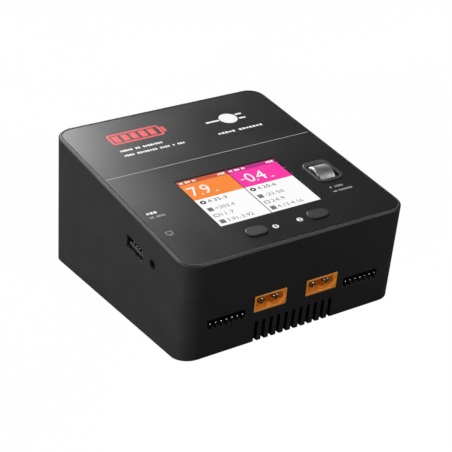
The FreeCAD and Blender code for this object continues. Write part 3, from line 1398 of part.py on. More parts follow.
def fan_frame():
    """A square frame with a round duct, and a motor seat and axle bearing held by struts."""
    back = FAN_DEPTH - 0.05
    frame = rounded_bar((0, 0), (FAN_SIZE, FAN_SIZE), FAN_CORNER, 0, back)
    frame = frame.cut(rod("w", (0, 0), FAN_DUCT_RADIUS, -1, FAN_DEPTH + 1))
    seat = rod("w", (0, 0), FAN_SEAT_RADIUS, FAN_DEPTH - FAN_SEAT_THICKNESS, back)
    stub = rod("w", (0, 0), FAN_STUB_RADIUS, FAN_STUB_START, FAN_DEPTH - FAN_SEAT_THICKNESS + 0.1)
    across = (-FAN_STRUT_HALF_WIDTH, FAN_STRUT_HALF_WIDTH)
    struts = []
    for i in range(FAN_STRUTS):
        reach = (FAN_SEAT_RADIUS - 1, FAN_DUCT_RADIUS + 0.6)
        strut = block(reach, across, (FAN_DEPTH - FAN_STRUT_THICKNESS, back))
        strut.rotate(Vector(0, 0, 0), Vector(0, 0, 1), 45 + 360 / FAN_STRUTS * i)
        struts.append(strut)
    bearing = rod("w", (0, 0), SHAFT_RADIUS + SHAFT_CLEARANCE, FAN_STUB_START - 0.2, FAN_DEPTH - 1.0)
    holes = [bearing]
    half = FAN_HOLE_PITCH / 2
    for a in (-half, half):
        for b in (-half, half):
            holes.append(rod("w", (a, b), FAN_SCREW_HOLE, -1, FAN_DEPTH + 1))
    return fan_placed(joined([frame, seat, *struts, stub]).cut(holes))


def fan_blade():
    """One cambered blade, pulled outwards along x."""
    lead = Vector(*FAN_BLADE_LEAD, 0)
    tail = Vector(*FAN_BLADE_TAIL, 0)
    step = Vector(*FAN_BLADE_THICKNESS, 0)
    lower = Part.Arc(lead, Vector(*FAN_BLADE_LOWER, 0), tail)
    upper = Part.Arc(lead + step, Vector(*FAN_BLADE_UPPER, 0), tail + step)
    rim = [
        lower.toShape(),
        Part.makeLine(tail, tail + step),
        upper.toShape(),
        Part.makeLine(lead + step, lead),
    ]
    face = Part.Face(Part.Wire(Part.__sortEdges__(rim)))
    return pulled(face, FAN_HUB_RADIUS - 1.0, FAN_TIP_RADIUS + 3.0, "u")


def fan_impeller():
    """The hub with its blades and its axle."""
    hub = rod("w", (0, 0), FAN_HUB_RADIUS, *FAN_HUB_SPAN)
    hub = softened(hub, FAN_HUB_EDGE, lambda edge: level_edge(edge, FAN_HUB_SPAN[0]))
    cup = rod("w", (0, 0), FAN_HUB_RADIUS - 1.0, *FAN_CUP_SPAN)
    blade = fan_blade().common(rod("w", (0, 0), FAN_TIP_RADIUS, *FAN_BLADE_SPAN))
    blades = []
    for i in range(FAN_BLADES):
        turned_blade = blade.copy()
        turned_blade.rotate(Vector(0, 0, 0), Vector(0, 0, 1), 360 / FAN_BLADES * i)
        blades.append(turned_blade)
    shaft = rod("w", (0, 0), SHAFT_RADIUS, FAN_CUP_SPAN[0] - 0.1, FAN_DEPTH - 1.4)
    rotor = joined([hub, *blades]).cut(cup)
    return fan_placed(joined([rotor, shaft]))


def fan_screws():
    """Countersunk screws from the outside of the back wall into the fan's frame."""
    screws = []
    for u, w in fan_screw_centres():
        head = Part.makeCone(FAN_SCREW_HEAD, FAN_SCREW_RADIUS, FAN_SCREW_HEAD - FAN_SCREW_RADIUS)
        shank = Part.makeCylinder(FAN_SCREW_RADIUS, FAN_SCREW_LENGTH)
        slot = block((-2.0, 2.0), (-0.35, 0.35), (-1, 0.7))
        cross = slot.rotated(Vector(0, 0, 0), Vector(0, 0, 1), 90)
        screw = joined([head, shank]).cut([slot, cross])
        screw.translate(Vector(u, w, -REAR_FACE + 0.05))
        screws.append(turned(screw, "v"))
    return Part.makeCompound(screws)


CASE_NODES = {
    "upper_shell": upper_shell,
    "base_plate": base_plate,
    "top_panel": top_panel,
    "display_window": display_window,
    "roller_bezel": roller_bezel,
    "case_screws": case_screws,
    "board_screws": board_screws,
    "lcd_panel": lcd_panel,
    "lcd_backlight": lcd_backlight,
    "display_holder": display_holder,
    "control_board": control_board,
    "button_left": lambda: push_button(-1),
    "button_right": lambda: push_button(1),
    "button_switches": button_switches,
    "plunger_left": lambda: button_plunger(-1),
    "plunger_right": lambda: button_plunger(1),
    "roller": roller,
    "roller_shaft": roller_shaft,
    "encoder_disc": encoder_disc,
    "roller_carrier": roller_carrier,
    "roller_frame": roller_frame,
    "roller_switch": roller_switch,
    "roller_plunger": roller_plunger,
    "encoder_board": encoder_board,
    "buzzer": buzzer,
    "processor": processor,
    "usb_shell": usb_shell,
    "usb_tongue": usb_tongue,
    "usb_contacts": usb_contacts,
    "link_jack": link_jack,
    "charge_board": charge_board,
    "power_outlet_left": lambda: power_outlet(-1),
    "power_outlet_right": lambda: power_outlet(1),
    "outlet_pins_left": lambda: outlet_pins(-1),
    "outlet_pins_right": lambda: outlet_pins(1),
    "balance_port_left": lambda: balance_port(-1),
    "balance_port_right": lambda: balance_port(1),
    "balance_pins_left": lambda: balance_pins(-1),
    "balance_pins_right": lambda: balance_pins(1),
    "inductor_cores": inductor_cores,
    "inductor_coils": inductor_coils,
    "charge_transistors": charge_transistors,
    "output_capacitors": output_capacitors,
    "ribbon_cable": ribbon_cable,
    "mains_inlet": mains_inlet,
    "inlet_pins": inlet_pins,
    "mains_leads": mains_leads,
    "supply_leads": supply_leads,
    "fan_frame": fan_frame,
    "fan_impeller": fan_impeller,
    "fan_screws": fan_screws,
}
FLOOR_NODES = {
    "rubber_feet": rubber_feet,
    "supply_board": supply_board,
    "input_fuse": input_fuse,
    "line_choke": line_choke,
    "bridge_rectifier": bridge_rectifier,
    "bulk_capacitor": bulk_capacitor,
    "transformer_core": transformer_core,
    "transformer_coil": transformer_coil,
    "heat_sinks": heat_sinks,
}


def main():
    os.makedirs("parts", exist_ok=True)
    for nodes, place in ((CASE_NODES, case_to_part), (FLOOR_NODES, floor_to_part)):
        for name, make in nodes.items():
            shape = place(make())
            shape.exportStep(f"parts/{name}.step")


main()
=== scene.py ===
import json
import math

import bmesh
import bpy
from mathutils import Matrix, Vector


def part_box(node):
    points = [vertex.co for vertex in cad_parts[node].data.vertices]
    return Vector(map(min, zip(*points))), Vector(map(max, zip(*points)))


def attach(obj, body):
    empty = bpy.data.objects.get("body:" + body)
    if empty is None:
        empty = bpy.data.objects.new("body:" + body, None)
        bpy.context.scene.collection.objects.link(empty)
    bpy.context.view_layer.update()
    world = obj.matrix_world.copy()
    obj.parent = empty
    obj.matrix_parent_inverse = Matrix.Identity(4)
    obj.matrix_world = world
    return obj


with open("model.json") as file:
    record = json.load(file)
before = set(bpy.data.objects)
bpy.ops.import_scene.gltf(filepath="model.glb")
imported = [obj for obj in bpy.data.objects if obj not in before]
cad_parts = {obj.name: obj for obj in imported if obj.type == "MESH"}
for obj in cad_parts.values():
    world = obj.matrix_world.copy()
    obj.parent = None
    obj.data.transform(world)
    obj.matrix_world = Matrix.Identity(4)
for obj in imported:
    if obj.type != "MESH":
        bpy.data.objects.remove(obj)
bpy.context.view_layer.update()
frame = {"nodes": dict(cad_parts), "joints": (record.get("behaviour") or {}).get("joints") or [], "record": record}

# The looks of a balance battery charger. Printed and displayed things are laid out in millimetres
# in the case frame: u right, v towards the back along the sloping panel, w out of the panel.
MM = 0.001
PANEL_DROP = 0.1         # the panel's face lies this far under the rim, where w is 0
WINDOW_MARGIN = 0.57     # the display window is larger than the picture by this on each side
INK = 0.03               # thickness of printed ink
INK_SUNK = 0.01          # how deep ink and pictures bite into the face they lie on


# ---------------------------------------------------------------- places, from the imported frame
def joint(name):
    return next(j for j in frame["joints"] if j["name"] == name)


RIGHT = Vector((1, 0, 0))
OUT = -Vector(joint("left_button_press")["axis"]).normalized()
BACK = OUT.cross(RIGHT)


def span(node, way):
    """The lowest and highest reach of a node along a direction, in metres."""
    reach = [vertex.co.dot(way) for vertex in frame["nodes"][node].data.vertices]
    return min(reach), max(reach)


def case_frame():
    """The matrix from case-frame millimetres to metres in the row frame."""
    middle = [sum(span("top_panel", way)) / 2 for way in (RIGHT, BACK)]
    height = span("top_panel", OUT)[1] + PANEL_DROP * MM
    origin = RIGHT * middle[0] + BACK * middle[1] + OUT * height
    turn = Matrix((RIGHT, BACK, OUT)).transposed().to_4x4()
    return Matrix.Translation(origin) @ turn @ Matrix.Scale(MM, 4)


CASE = case_frame()
TO_CASE = CASE.inverted()


def case_box(node):
    """The lowest and highest corner of a node in the case frame, in millimetres."""
    points = [TO_CASE @ vertex.co for vertex in frame["nodes"][node].data.vertices]
    low = Vector([min(p[i] for p in points) for i in range(3)])
    high = Vector([max(p[i] for p in points) for i in range(3)])
    return low, high


# ---------------------------------------------------------------- materials
PANEL_ROUGHNESS = 0.33
AMBER_GLOW = 0.08         # stands in for light that soaks through the amber walls
WINDOW_IOR = 1.3
WINDOW_TINT = 0.985       # the share of light that one face of the window lets through


def srgb(red, green, blue):
    """A screen colour, 0 to 255, as the linear colour that shaders take."""
    def linear(value):
        share = value / 255
        return share / 12.92 if share <= 0.04045 else ((share + 0.055) / 1.055) ** 2.4
    return (linear(red), linear(green), linear(blue), 1.0)


def grey(value):
    return srgb(value, value, value)


class Shader:
    """A node material under construction."""

    def __init__(self, name):
        self.material = bpy.data.materials.new(name)
        self.material.use_nodes = True
        self.tree = self.material.node_tree
        self.tree.nodes.clear()
        self.output = self.add("ShaderNodeOutputMaterial")

    def add(self, kind, settings=None, **inputs):
        node = self.tree.nodes.new(kind)
        for key, value in (settings or {}).items():
            setattr(node, key, value)
        for key, value in inputs.items():
            self.feed(node, key.replace("_", " "), value)
        return node

    def feed(self, node, key, value):
        socket = node.inputs[int(key)] if key.isdigit() else node.inputs[key]
        if isinstance(value, bpy.types.NodeSocket):
            self.tree.links.new(value, socket)
        else:
            socket.default_value = value

    def place(self):
        return self.add("ShaderNodeTexCoord").outputs["Object"]

    def stretched(self, scale):
        mapping = self.add("ShaderNodeMapping", Scale=scale, Vector=self.place())
        return mapping.outputs["Vector"]

    def noise(self, size_mm, detail=2.0, where=None):
        """Smooth noise with lumps of about the given size."""
        where = where or self.place()
        node = self.add("ShaderNodeTexNoise", Vector=where, Scale=1 / (size_mm * MM), Detail=detail)
        return node.outputs["Fac"]

    def ranged(self, value, low, high, start=0.3, end=0.7):
        """A value between start and end, carried over to the range low to high."""
        node = self.add("ShaderNodeMapRange", settings={"clamp": True})
        for index, item in enumerate((value, start, end, low, high)):
            self.feed(node, str(index), item)
        return node.outputs["Result"]

    def mixed(self, share, first, second, blend="MIX"):
        node = self.add("ShaderNodeMix", settings={"data_type": "RGBA", "blend_type": blend})
        for index, item in ((0, share), (6, first), (7, second)):
            self.feed(node, str(index), item)
        return node.outputs[2]

    def edges(self, radius_mm):
        """One near a sharp edge and nothing on a flat: how far a rounded normal leans away."""
        rounded = self.add("ShaderNodeBevel", settings={"samples": 4}, Radius=radius_mm * MM)
        flat = self.add("ShaderNodeNewGeometry").outputs["Normal"]
        lean = self.add("ShaderNodeVectorMath", settings={"operation": "DOT_PRODUCT"})
        self.feed(lean, "0", rounded.outputs["Normal"])
        self.feed(lean, "1", flat)
        return self.ranged(lean.outputs["Value"], 1.0, 0.0, 0.75, 0.99)

    def bumped(self, height, depth_mm, normal=None):
        node = self.add("ShaderNodeBump", Height=height, Strength=1.0, Distance=depth_mm * MM)
        if normal is not None:
            self.feed(node, "Normal", normal)
        return node.outputs["Normal"]

    def soft_edge(self, radius_mm):
        node = self.add("ShaderNodeBevel", settings={"samples": 6}, Radius=radius_mm * MM)
        return node.outputs["Normal"]

    def finish(self, **inputs):
        surface = self.add("ShaderNodeBsdfPrincipled", **inputs)
        self.tree.links.new(surface.outputs["BSDF"], self.output.inputs["Surface"])
        return self.material


def brighter(colour, share):
    return (*[min(1.0, channel * share) for channel in colour[:3]], 1.0)


def plastic(name, colour, roughness, grain_mm=0.25, grain_depth=0.004, edge_mm=0.15, gloss=0.5):
    """Moulded plastic: a fine sparked grain, cloudy colour, uneven sheen and softened edges with a painted
    highlight along them.
    """
    shader = Shader(name)
    cloud = shader.noise(14, 3)
    fine = shader.noise(grain_mm, 3)
    edge = shader.edges(edge_mm * 1.6)
    base = shader.mixed(cloud, brighter(colour, 0.86), brighter(colour, 1.14))
    # painted highlight: the colour is lighter along sharp edges
    base = shader.mixed(shader.ranged(edge, 0.0, 0.35, 0.0, 1.0), base, brighter(colour, 1.9))
    rough = shader.ranged(cloud, roughness - 0.04, roughness + 0.05)
    normal = shader.bumped(fine, grain_depth, shader.soft_edge(edge_mm))
    return shader.finish(Base_Color=base, Roughness=rough, Normal=normal, Specular_IOR_Level=gloss)


def panel_finish(name):
    """Smooth satin black with a slight orange peel and the haze of handling."""
    shader = Shader(name)
    haze = shader.noise(22, 4)
    peel = shader.noise(1.6, 2)
    dust = shader.ranged(shader.noise(0.35, 2), 0.0, 0.04, 0.62, 0.75)
    rough = shader.ranged(haze, PANEL_ROUGHNESS - 0.02, PANEL_ROUGHNESS + 0.03)
    base = shader.mixed(dust, shader.mixed(haze, grey(12), grey(15)), grey(70))
    normal = shader.bumped(peel, 0.0015, shader.soft_edge(0.1))
    return shader.finish(Base_Color=base, Roughness=rough, Normal=normal)


def rubber(name, colour):
    """Soft matt rubber with a cloudy tone and a coarse skin."""
    shader = Shader(name)
    cloud = shader.noise(3, 4)
    base = shader.mixed(cloud, brighter(colour, 0.75), brighter(colour, 1.35))
    normal = shader.bumped(shader.noise(0.4, 4), 0.02)
    rough = shader.ranged(cloud, 0.72, 0.9)
    return shader.finish(Base_Color=base, Roughness=rough, Normal=normal)


def metal(name, colour, roughness, streaks=(1, 1, 1), streak_mm=0.2, depth=0.002, edge_mm=0.1):
    """Metal with fine streaks along the direction whose scale is smallest."""
    shader = Shader(name)
    brush = shader.noise(streak_mm, 3, shader.stretched(streaks))
    cloud = shader.noise(4, 3)
    base = shader.mixed(brush, brighter(colour, 0.85), brighter(colour, 1.1))
    rough = shader.ranged(cloud, roughness * 0.85, roughness * 1.2)
    normal = shader.bumped(brush, depth, shader.soft_edge(edge_mm))
    return shader.finish(Base_Color=base, Metallic=1.0, Roughness=rough, Normal=normal)


def circuit_board(name):
    """Green solder mask over copper tracks, with tinned spots."""
    shader = Shader(name)
    bricks = shader.add(
        "ShaderNodeTexBrick", Vector=shader.place(), Scale=260.0, Mortar_Size=0.03,
        Color1=srgb(18, 84, 48), Color2=srgb(14, 70, 40), Mortar=srgb(40, 120, 70),
    )
    cells = shader.add("ShaderNodeTexVoronoi", Vector=shader.place(), Scale=340.0)
    spots = shader.ranged(cells.outputs["Distance"], 1.0, 0.0, 0.16, 0.2)
    base = shader.mixed(spots, bricks.outputs["Color"], grey(190))
    normal = shader.bumped(bricks.outputs["Fac"], 0.03)
    rough = shader.ranged(shader.noise(6), 0.3, 0.42)
    return shader.finish(Base_Color=base, Metallic=spots, Roughness=rough, Normal=normal)


def enamelled_wire(name, colour):
    """Turns of lacquered copper wire, seen as even ridges, with painted shade in the grooves between turns."""
    shader = Shader(name)
    turns = shader.add(
        "ShaderNodeTexWave", settings={"bands_direction": "Z"}, Vector=shader.place(), Scale=340.0,
    )
    # painted shade: the colour darkens in the low part of each ridge
    base = shader.mixed(turns.outputs["Fac"], brighter(colour, 0.45), colour)
    normal = shader.bumped(turns.outputs["Fac"], 0.25)
    rough = shader.ranged(shader.noise(5), 0.25, 0.4)
    return shader.finish(Base_Color=base, Metallic=0.7, Roughness=rough, Normal=normal)


def amber_nylon(name):
    """Filled amber nylon: slightly milky, with flow marks and a painted highlight on its rims."""
    shader = Shader(name)
    flow = shader.noise(2.5, 4)
    base = shader.mixed(flow, srgb(236, 138, 38), srgb(255, 166, 62))
    # painted highlight: the colour is lighter along the rims
    base = shader.mixed(shader.edges(0.3), base, srgb(255, 196, 110))
    normal = shader.bumped(shader.noise(0.3, 3), 0.004, shader.soft_edge(0.15))
    rough = shader.ranged(flow, 0.3, 0.42)
    # the emission is a painted glow in place of light that soaks through the amber walls
    return shader.finish(
        Base_Color=base, Roughness=rough, Normal=normal, Subsurface_Weight=0.12,
        Emission_Color=base, Emission_Strength=AMBER_GLOW,
        Subsurface_Radius=(1.2 * MM, 0.6 * MM, 0.2 * MM), Subsurface_Scale=1.0,
    )


def clear_window(name):
    """A hard-coated clear sheet: what lies behind shows through, with a faint reflection on top."""
    shader = Shader(name)
    haze = shader.noise(18, 3)
    rough = shader.ranged(haze, 0.16, 0.26)
    normal = shader.bumped(shader.noise(1.5, 2), 0.0006)
    gloss = shader.add("ShaderNodeBsdfGlossy", Color=grey(255), Roughness=rough, Normal=normal)
    clear = shader.add("ShaderNodeBsdfTransparent", Color=(WINDOW_TINT,) * 3 + (1,))
    share = shader.add("ShaderNodeFresnel", IOR=WINDOW_IOR)
    inside = shader.add("ShaderNodeNewGeometry").outputs["Backfacing"]
    outside = shader.add("ShaderNodeMath", settings={"operation": "SUBTRACT"})
    shader.feed(outside, "0", 1.0)
    shader.feed(outside, "1", inside)
    front = shader.add("ShaderNodeMath", settings={"operation": "MULTIPLY"})
    shader.feed(front, "0", share.outputs["Fac"])
    shader.feed(front, "1", outside.outputs["Value"])
    mix = shader.add("ShaderNodeMixShader")
    shader.feed(mix, "0", front.outputs["Value"])
    shader.feed(mix, "1", clear.outputs["BSDF"])
    shader.feed(mix, "2", gloss.outputs["BSDF"])
    shader.tree.links.new(mix.outputs["Shader"], shader.output.inputs["Surface"])
    return shader.material


def lit_pixels(name, colour, strength):
    """A lit part of the display, with the faint grid of its pixels."""
    shader = Shader(name)
    grid = shader.add(
        "ShaderNodeTexBrick", settings={"offset": 0.0}, Vector=shader.place(), Scale=1 / (0.3 * MM),
        Mortar_Size=0.05, Color1=grey(255), Color2=grey(255), Mortar=grey(236),
        Brick_Width=0.5, Row_Height=0.5,
    )
    light = shader.mixed(1.0, colour, grid.outputs["Color"], "MULTIPLY")
    glow = shader.add("ShaderNodeEmission", Color=light, Strength=strength)
    shader.tree.links.new(glow.outputs["Emission"], shader.output.inputs["Surface"])
    return shader.material


def ink(name, colour, roughness=0.5):
    """Screen-printed ink: a little uneven in tone and slightly rough."""
    shader = Shader(name)
    cover = shader.noise(0.6, 4)
    base = shader.mixed(cover, brighter(colour, 0.9), brighter(colour, 1.05))
    normal = shader.bumped(shader.noise(0.15, 2), 0.004)
    rough = shader.ranged(cover, roughness - 0.06, roughness + 0.08)
    return shader.finish(Base_Color=base, Roughness=rough, Normal=normal)


SLOT_FINISH = {
    "case_plastic": lambda name: plastic(name, grey(39), 0.52, 0.3, 0.006, 0.25),
    "base_plastic": lambda name: plastic(name, grey(40), 0.6, 0.4, 0.01, 0.2),
    "panel_plastic": panel_finish,
    "window": clear_window,
    "bezel_plastic": lambda name: plastic(name, grey(58), 0.38, 0.3, 0.002, 0.25),
    "button_plastic": lambda name: plastic(name, grey(27), 0.48, 0.25, 0.003, 0.25),
    "roller_metal": lambda name: metal(name, grey(150), 0.46, (4, 0.6, 0.6), 0.3, 0.0008, 0.3),
    "steel": lambda name: metal(name, grey(200), 0.25),
    "black_screw": lambda name: metal(name, grey(70), 0.38, depth=0.004),
    "foot_rubber": lambda name: rubber(name, grey(44)),
    "lcd_glass": lambda name: plastic(name, grey(24), 0.1, 0.5, 0.0005, 0.1),
    "lcd_light": lambda name: plastic(name, grey(225), 0.5),
    "holder_plastic": lambda name: plastic(name, grey(215), 0.55),
    "board": circuit_board,
    "switch_plastic": lambda name: plastic(name, grey(52), 0.5),
    "plunger_plastic": lambda name: plastic(name, srgb(206, 200, 182), 0.5),
    "carrier_plastic": lambda name: plastic(name, grey(190), 0.42),
    "chip": lambda name: plastic(name, grey(48), 0.6, 0.12, 0.01),
    "can": lambda name: metal(name, grey(205), 0.3, (1, 1, 0.1), 0.15),
    "contact_gold": lambda name: metal(name, srgb(176, 156, 124), 0.24, depth=0.001, edge_mm=0.2),
    "socket_steel": lambda name: metal(name, grey(120), 0.3),
    "tongue_plastic": lambda name: plastic(name, grey(34), 0.45),
    "outlet_plastic": amber_nylon,
    "header_plastic": lambda name: plastic(name, grey(13), 0.5, 0.2, 0.003),
    "pin_metal": lambda name: metal(name, grey(150), 0.3, depth=0.0008),
    "ferrite": lambda name: plastic(name, grey(70), 0.7, 0.3, 0.02),
    "winding": lambda name: enamelled_wire(name, srgb(196, 104, 46)),
    "coil_tape": lambda name: plastic(name, srgb(226, 180, 60), 0.35, 1.2, 0.01),
    "cap_sleeve": lambda name: plastic(name, srgb(36, 46, 78), 0.3, 1.5, 0.006),
    "fuse_glass": lambda name: plastic(name, grey(222), 0.22, 0.8, 0.002),
    "inlet_plastic": lambda name: plastic(name, grey(42), 0.5, 0.3, 0.006),
    "heat_sink": lambda name: metal(name, grey(200), 0.35, (1, 0.05, 1), 0.2, 0.006),
    "fan_plastic": lambda name: plastic(name, grey(40), 0.45, 0.3, 0.004),
    "wire": lambda name: rubber(name, srgb(170, 34, 26)),
    "ribbon": lambda name: plastic(name, grey(200), 0.45, 1.27, 0.02),
}


def dress_cad_nodes():
    finishes = {name: make(name) for name, make in SLOT_FINISH.items()}
    for row in frame["record"]["subparts"]:
        piece = frame["nodes"][row["node"]]
        finish = finishes[row["material_slot"]]
        if not piece.material_slots:
            piece.data.materials.append(finish)
        for holder in piece.material_slots:
            holder.material = finish


# ---------------------------------------------------------------- flat shapes, in millimetres
def rectangle(left, low, right, high):
    return [(left, low), (right, low), (right, high), (left, high)]


def arc(centre, radius, start, end, steps=6):
    """Points along an arc, with its angles in degrees."""
    angles = [math.radians(start + (end - start) * i / steps) for i in range(steps + 1)]
    return [(centre[0] + radius * math.cos(a), centre[1] + radius * math.sin(a)) for a in angles]


def rounded(left, low, right, high, radius):
    return [
        *arc((right - radius, low + radius), radius, -90, 0),
        *arc((right - radius, high - radius), radius, 0, 90),
        *arc((left + radius, high - radius), radius, 90, 180),
        *arc((left + radius, low + radius), radius, 180, 270),
    ]


def ring(left, low, right, high, radius, width):
    """The outer and inner outline of a rounded frame."""
    inner_radius = max(radius - width, 0.05)
    inner = rounded(left + width, low + width, right - width, high - width, inner_radius)
    return [rounded(left, low, right, high, radius), inner]


def disc(centre, radius, steps=24):
    return arc(centre, radius, 0, 360 * (steps - 1) / steps, steps - 1)


def word_blocks(left, middle, right, height, words):
    """A printed line with each letter stood in for by a small block; words gives their lengths."""
    places = sum(words) + len(words) - 1
    pitch = (right - left) / places
    blocks = []
    place = 0
    for index, length in enumerate(words):
        for letter in range(length):
            rise = height * (0.5 if (letter + index) % 3 else 0.38)
            start = left + (place + letter) * pitch
            blocks.append(rectangle(start, middle - rise, start + pitch * 0.72, middle + rise))
        place += length + 1
    return blocks


def outline_mesh(outlines, thickness):
    """A closed flat solid from outlines, where an outline inside another is a hole."""
    curve = bpy.data.curves.new("outline", "CURVE")
    curve.dimensions = "2D"
    curve.fill_mode = "BOTH"
    curve.extrude = thickness / 2
    for points in outlines:
        spline = curve.splines.new("POLY")
        spline.points.add(len(points) - 1)
        for place, (x, y) in zip(spline.points, points):
            place.co = (x, y, 0, 1)
        spline.use_cyclic_u = True
    return solid_from(curve)


def solid_from(curve):
    """The mesh of a curve or text, which is used up."""
    holder = bpy.data.objects.new("outline", curve)
    mesh = bpy.data.meshes.new_from_object(holder)
    bpy.data.objects.remove(holder)
    bpy.data.curves.remove(curve)
    return mesh


def text_mesh(text, box, thickness):
    """Digits as a closed flat solid that fills the box (left, low, right, high)."""
    curve = bpy.data.curves.new("digits", "FONT")
    curve.body = text
    curve.size = 10
    curve.resolution_u = 3
    curve.extrude = thickness / 2
    mesh = solid_from(curve)
    xs = [vertex.co.x for vertex in mesh.vertices]
    ys = [vertex.co.y for vertex in mesh.vertices]
    wide = (box[2] - box[0]) / (max(xs) - min(xs))
    tall = (box[3] - box[1]) / (max(ys) - min(ys))
    for vertex in mesh.vertices:
        vertex.co.x = box[0] + (vertex.co.x - min(xs)) * wide
        vertex.co.y = box[1] + (vertex.co.y - min(ys)) * tall
    return mesh


def flat_piece(name, material, low, high, outlines=(), texts=(), place=CASE, body="case"):
    """A thin closed piece lying in a plane, built in millimetres and put in its place."""
    thickness = high - low
    meshes = [outline_mesh(outlines, thickness)] if outlines else []
    meshes += [text_mesh(text, box, thickness) for text, box in texts]
    gathered = bmesh.new()
    for mesh in meshes:
        gathered.from_mesh(mesh)
    bmesh.ops.remove_doubles(gathered, verts=gathered.verts, dist=1e-4)
    bmesh.ops.recalc_face_normals(gathered, faces=gathered.faces)
    gathered.transform(place @ Matrix.Translation((0, 0, (low + high) / 2)))
    mesh = bpy.data.meshes.new(name)
    gathered.to_mesh(mesh)
    gathered.free()
    mesh.materials.append(material)
    piece = bpy.data.objects.new(name, mesh)
    bpy.context.scene.collection.objects.link(piece)
    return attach(piece, body)


# ---------------------------------------------------------------- print on the panel
def battery_emblem(left, low, right, high):
    """A plain battery sign: a frame with a terminal, and upright cells inside."""
    line = 1.1
    nub = 1.5
    shapes = ring(left, low, right - nub - 0.4, high, 1.6, line)
    middle = (low + high) / 2
    shapes.append(rounded(right - nub, middle - 2.2, right, middle + 2.2, 0.6))
    cells = 5
    room = right - nub - 0.4 - left - 2 * line - 1.6
    pitch = room / cells
    for i in range(cells):
        start = left + line + 0.8 + i * pitch
        shapes.append(rectangle(start, low + line + 0.8, start + pitch * 0.7, high - line - 0.8))
    return shapes


def charge_emblem(left, low, right, high):
    """A plain sign for charging: a round plug with two prongs and its lead, all in one colour."""
    middle = (low + high) / 2
    plug = 4.4
    centre = ((left + right) / 2, middle)
    shapes = [disc(centre, plug)]
    for side in (-1, 1):
        rise = middle + side * 1.9
        shapes.append(rounded(centre[0] + plug + 0.4, rise - 0.6, centre[0] + plug + 3.8, rise + 0.6, 0.4))
    lead = (left, middle - 0.6, centre[0] - plug - 0.4, middle + 0.6)
    shapes.append(rounded(*lead, 0.4))
    return shapes


# printed lines of words: left, middle, right, height, and the length of each word
WHITE_LINES = (
    (-34.4, 30.4, -13.4, 1.5, (5, 2, 8)),
    (-34.4, 26.3, -4.6, 1.5, (4, 8, 4, 1, 3)),
    (12.6, 26.4, 36.1, 1.5, (5, 7)),
    (-48.2, -18.1, -43.2, 1.5, (3,)),
)
FAINT_LINES = (
    (-48.2, -21.1, -41.2, 1.3, (2, 4)),
    (33.9, -32.35, 38.4, 1.3, (4,)),
    (33.9, -35.55, 40.9, 1.3, (6,)),
)
DIVIDER_V = 11.81         # the thin line across the panel
DIVIDER_WIDTH = 0.4
DIVIDER_GAP = 0.3         # between the line's ends and the panel's sides


def printed_lines(lines):
    return [block for line in lines for block in word_blocks(*line)]


def small_signs():
    """A screen on its foot near the link jack, and a dot and a bar in front of the roller's words."""
    screen = ring(-48.0, -34.6, -44.9, -32.3, 0.5, 0.35)
    foot = rectangle(-47.2, -35.4, -45.7, -35.1)
    turn_dot = disc((31.9, -32.3), 0.6)
    press_bar = rectangle(31.1, -36.0, 32.9, -35.1)
    return [*screen, foot, turn_dot, press_bar]


def panel_print():
    """Everything printed on the panel: a line across it, two plain signs, words and small marks."""
    white = ink("white_ink", grey(236))
    faint = ink("faint_ink", grey(150))
    red = ink("red_ink", srgb(226, 56, 62))
    low = -PANEL_DROP - INK_SUNK
    high = -PANEL_DROP + INK
    edge, far = case_box("top_panel")
    start, end = edge.x + DIVIDER_GAP, far.x - DIVIDER_GAP
    half = DIVIDER_WIDTH / 2
    divider = rectangle(start, DIVIDER_V - half, end, DIVIDER_V + half)
    flat_piece("panel_line", faint, low, high, [divider])
    flat_piece("emblem_red", red, low, high, battery_emblem(-34.4, 36.2, -6.7, 45.1))
    flat_piece("emblem_white", white, low, high, charge_emblem(12.6, 30.0, 36.1, 44.7))
    flat_piece("panel_words", white, low, high, printed_lines(WHITE_LINES))
    flat_piece("panel_words_faint", faint, low, high, printed_lines(FAINT_LINES))
    flat_piece("panel_signs", faint, low, high, small_signs())
    button_numbers(white, low, high)


def button_numbers(white, low, high):
    """A white spot beside each button, with the channel's number on it."""
    number_ink = ink("number_ink", grey(22))
    spot_u, spot_v, spot_radius = 5.8, -47.3, 1.35
    half_height = 0.92
    spots = [disc((side * spot_u, spot_v), spot_radius) for side in (-1, 1)]
    flat_piece("number_spots", white, low, high, spots)
    texts = []
    for side, text, half_width in ((-1, "1", 0.32), (1, "2", 0.58)):
        left, right = side * spot_u - half_width, side * spot_u + half_width
        texts.append((text, (left, spot_v - half_height, right, spot_v + half_height)))
    flat_piece("number_digits", number_ink, high - INK_SUNK, high + INK, texts=texts)


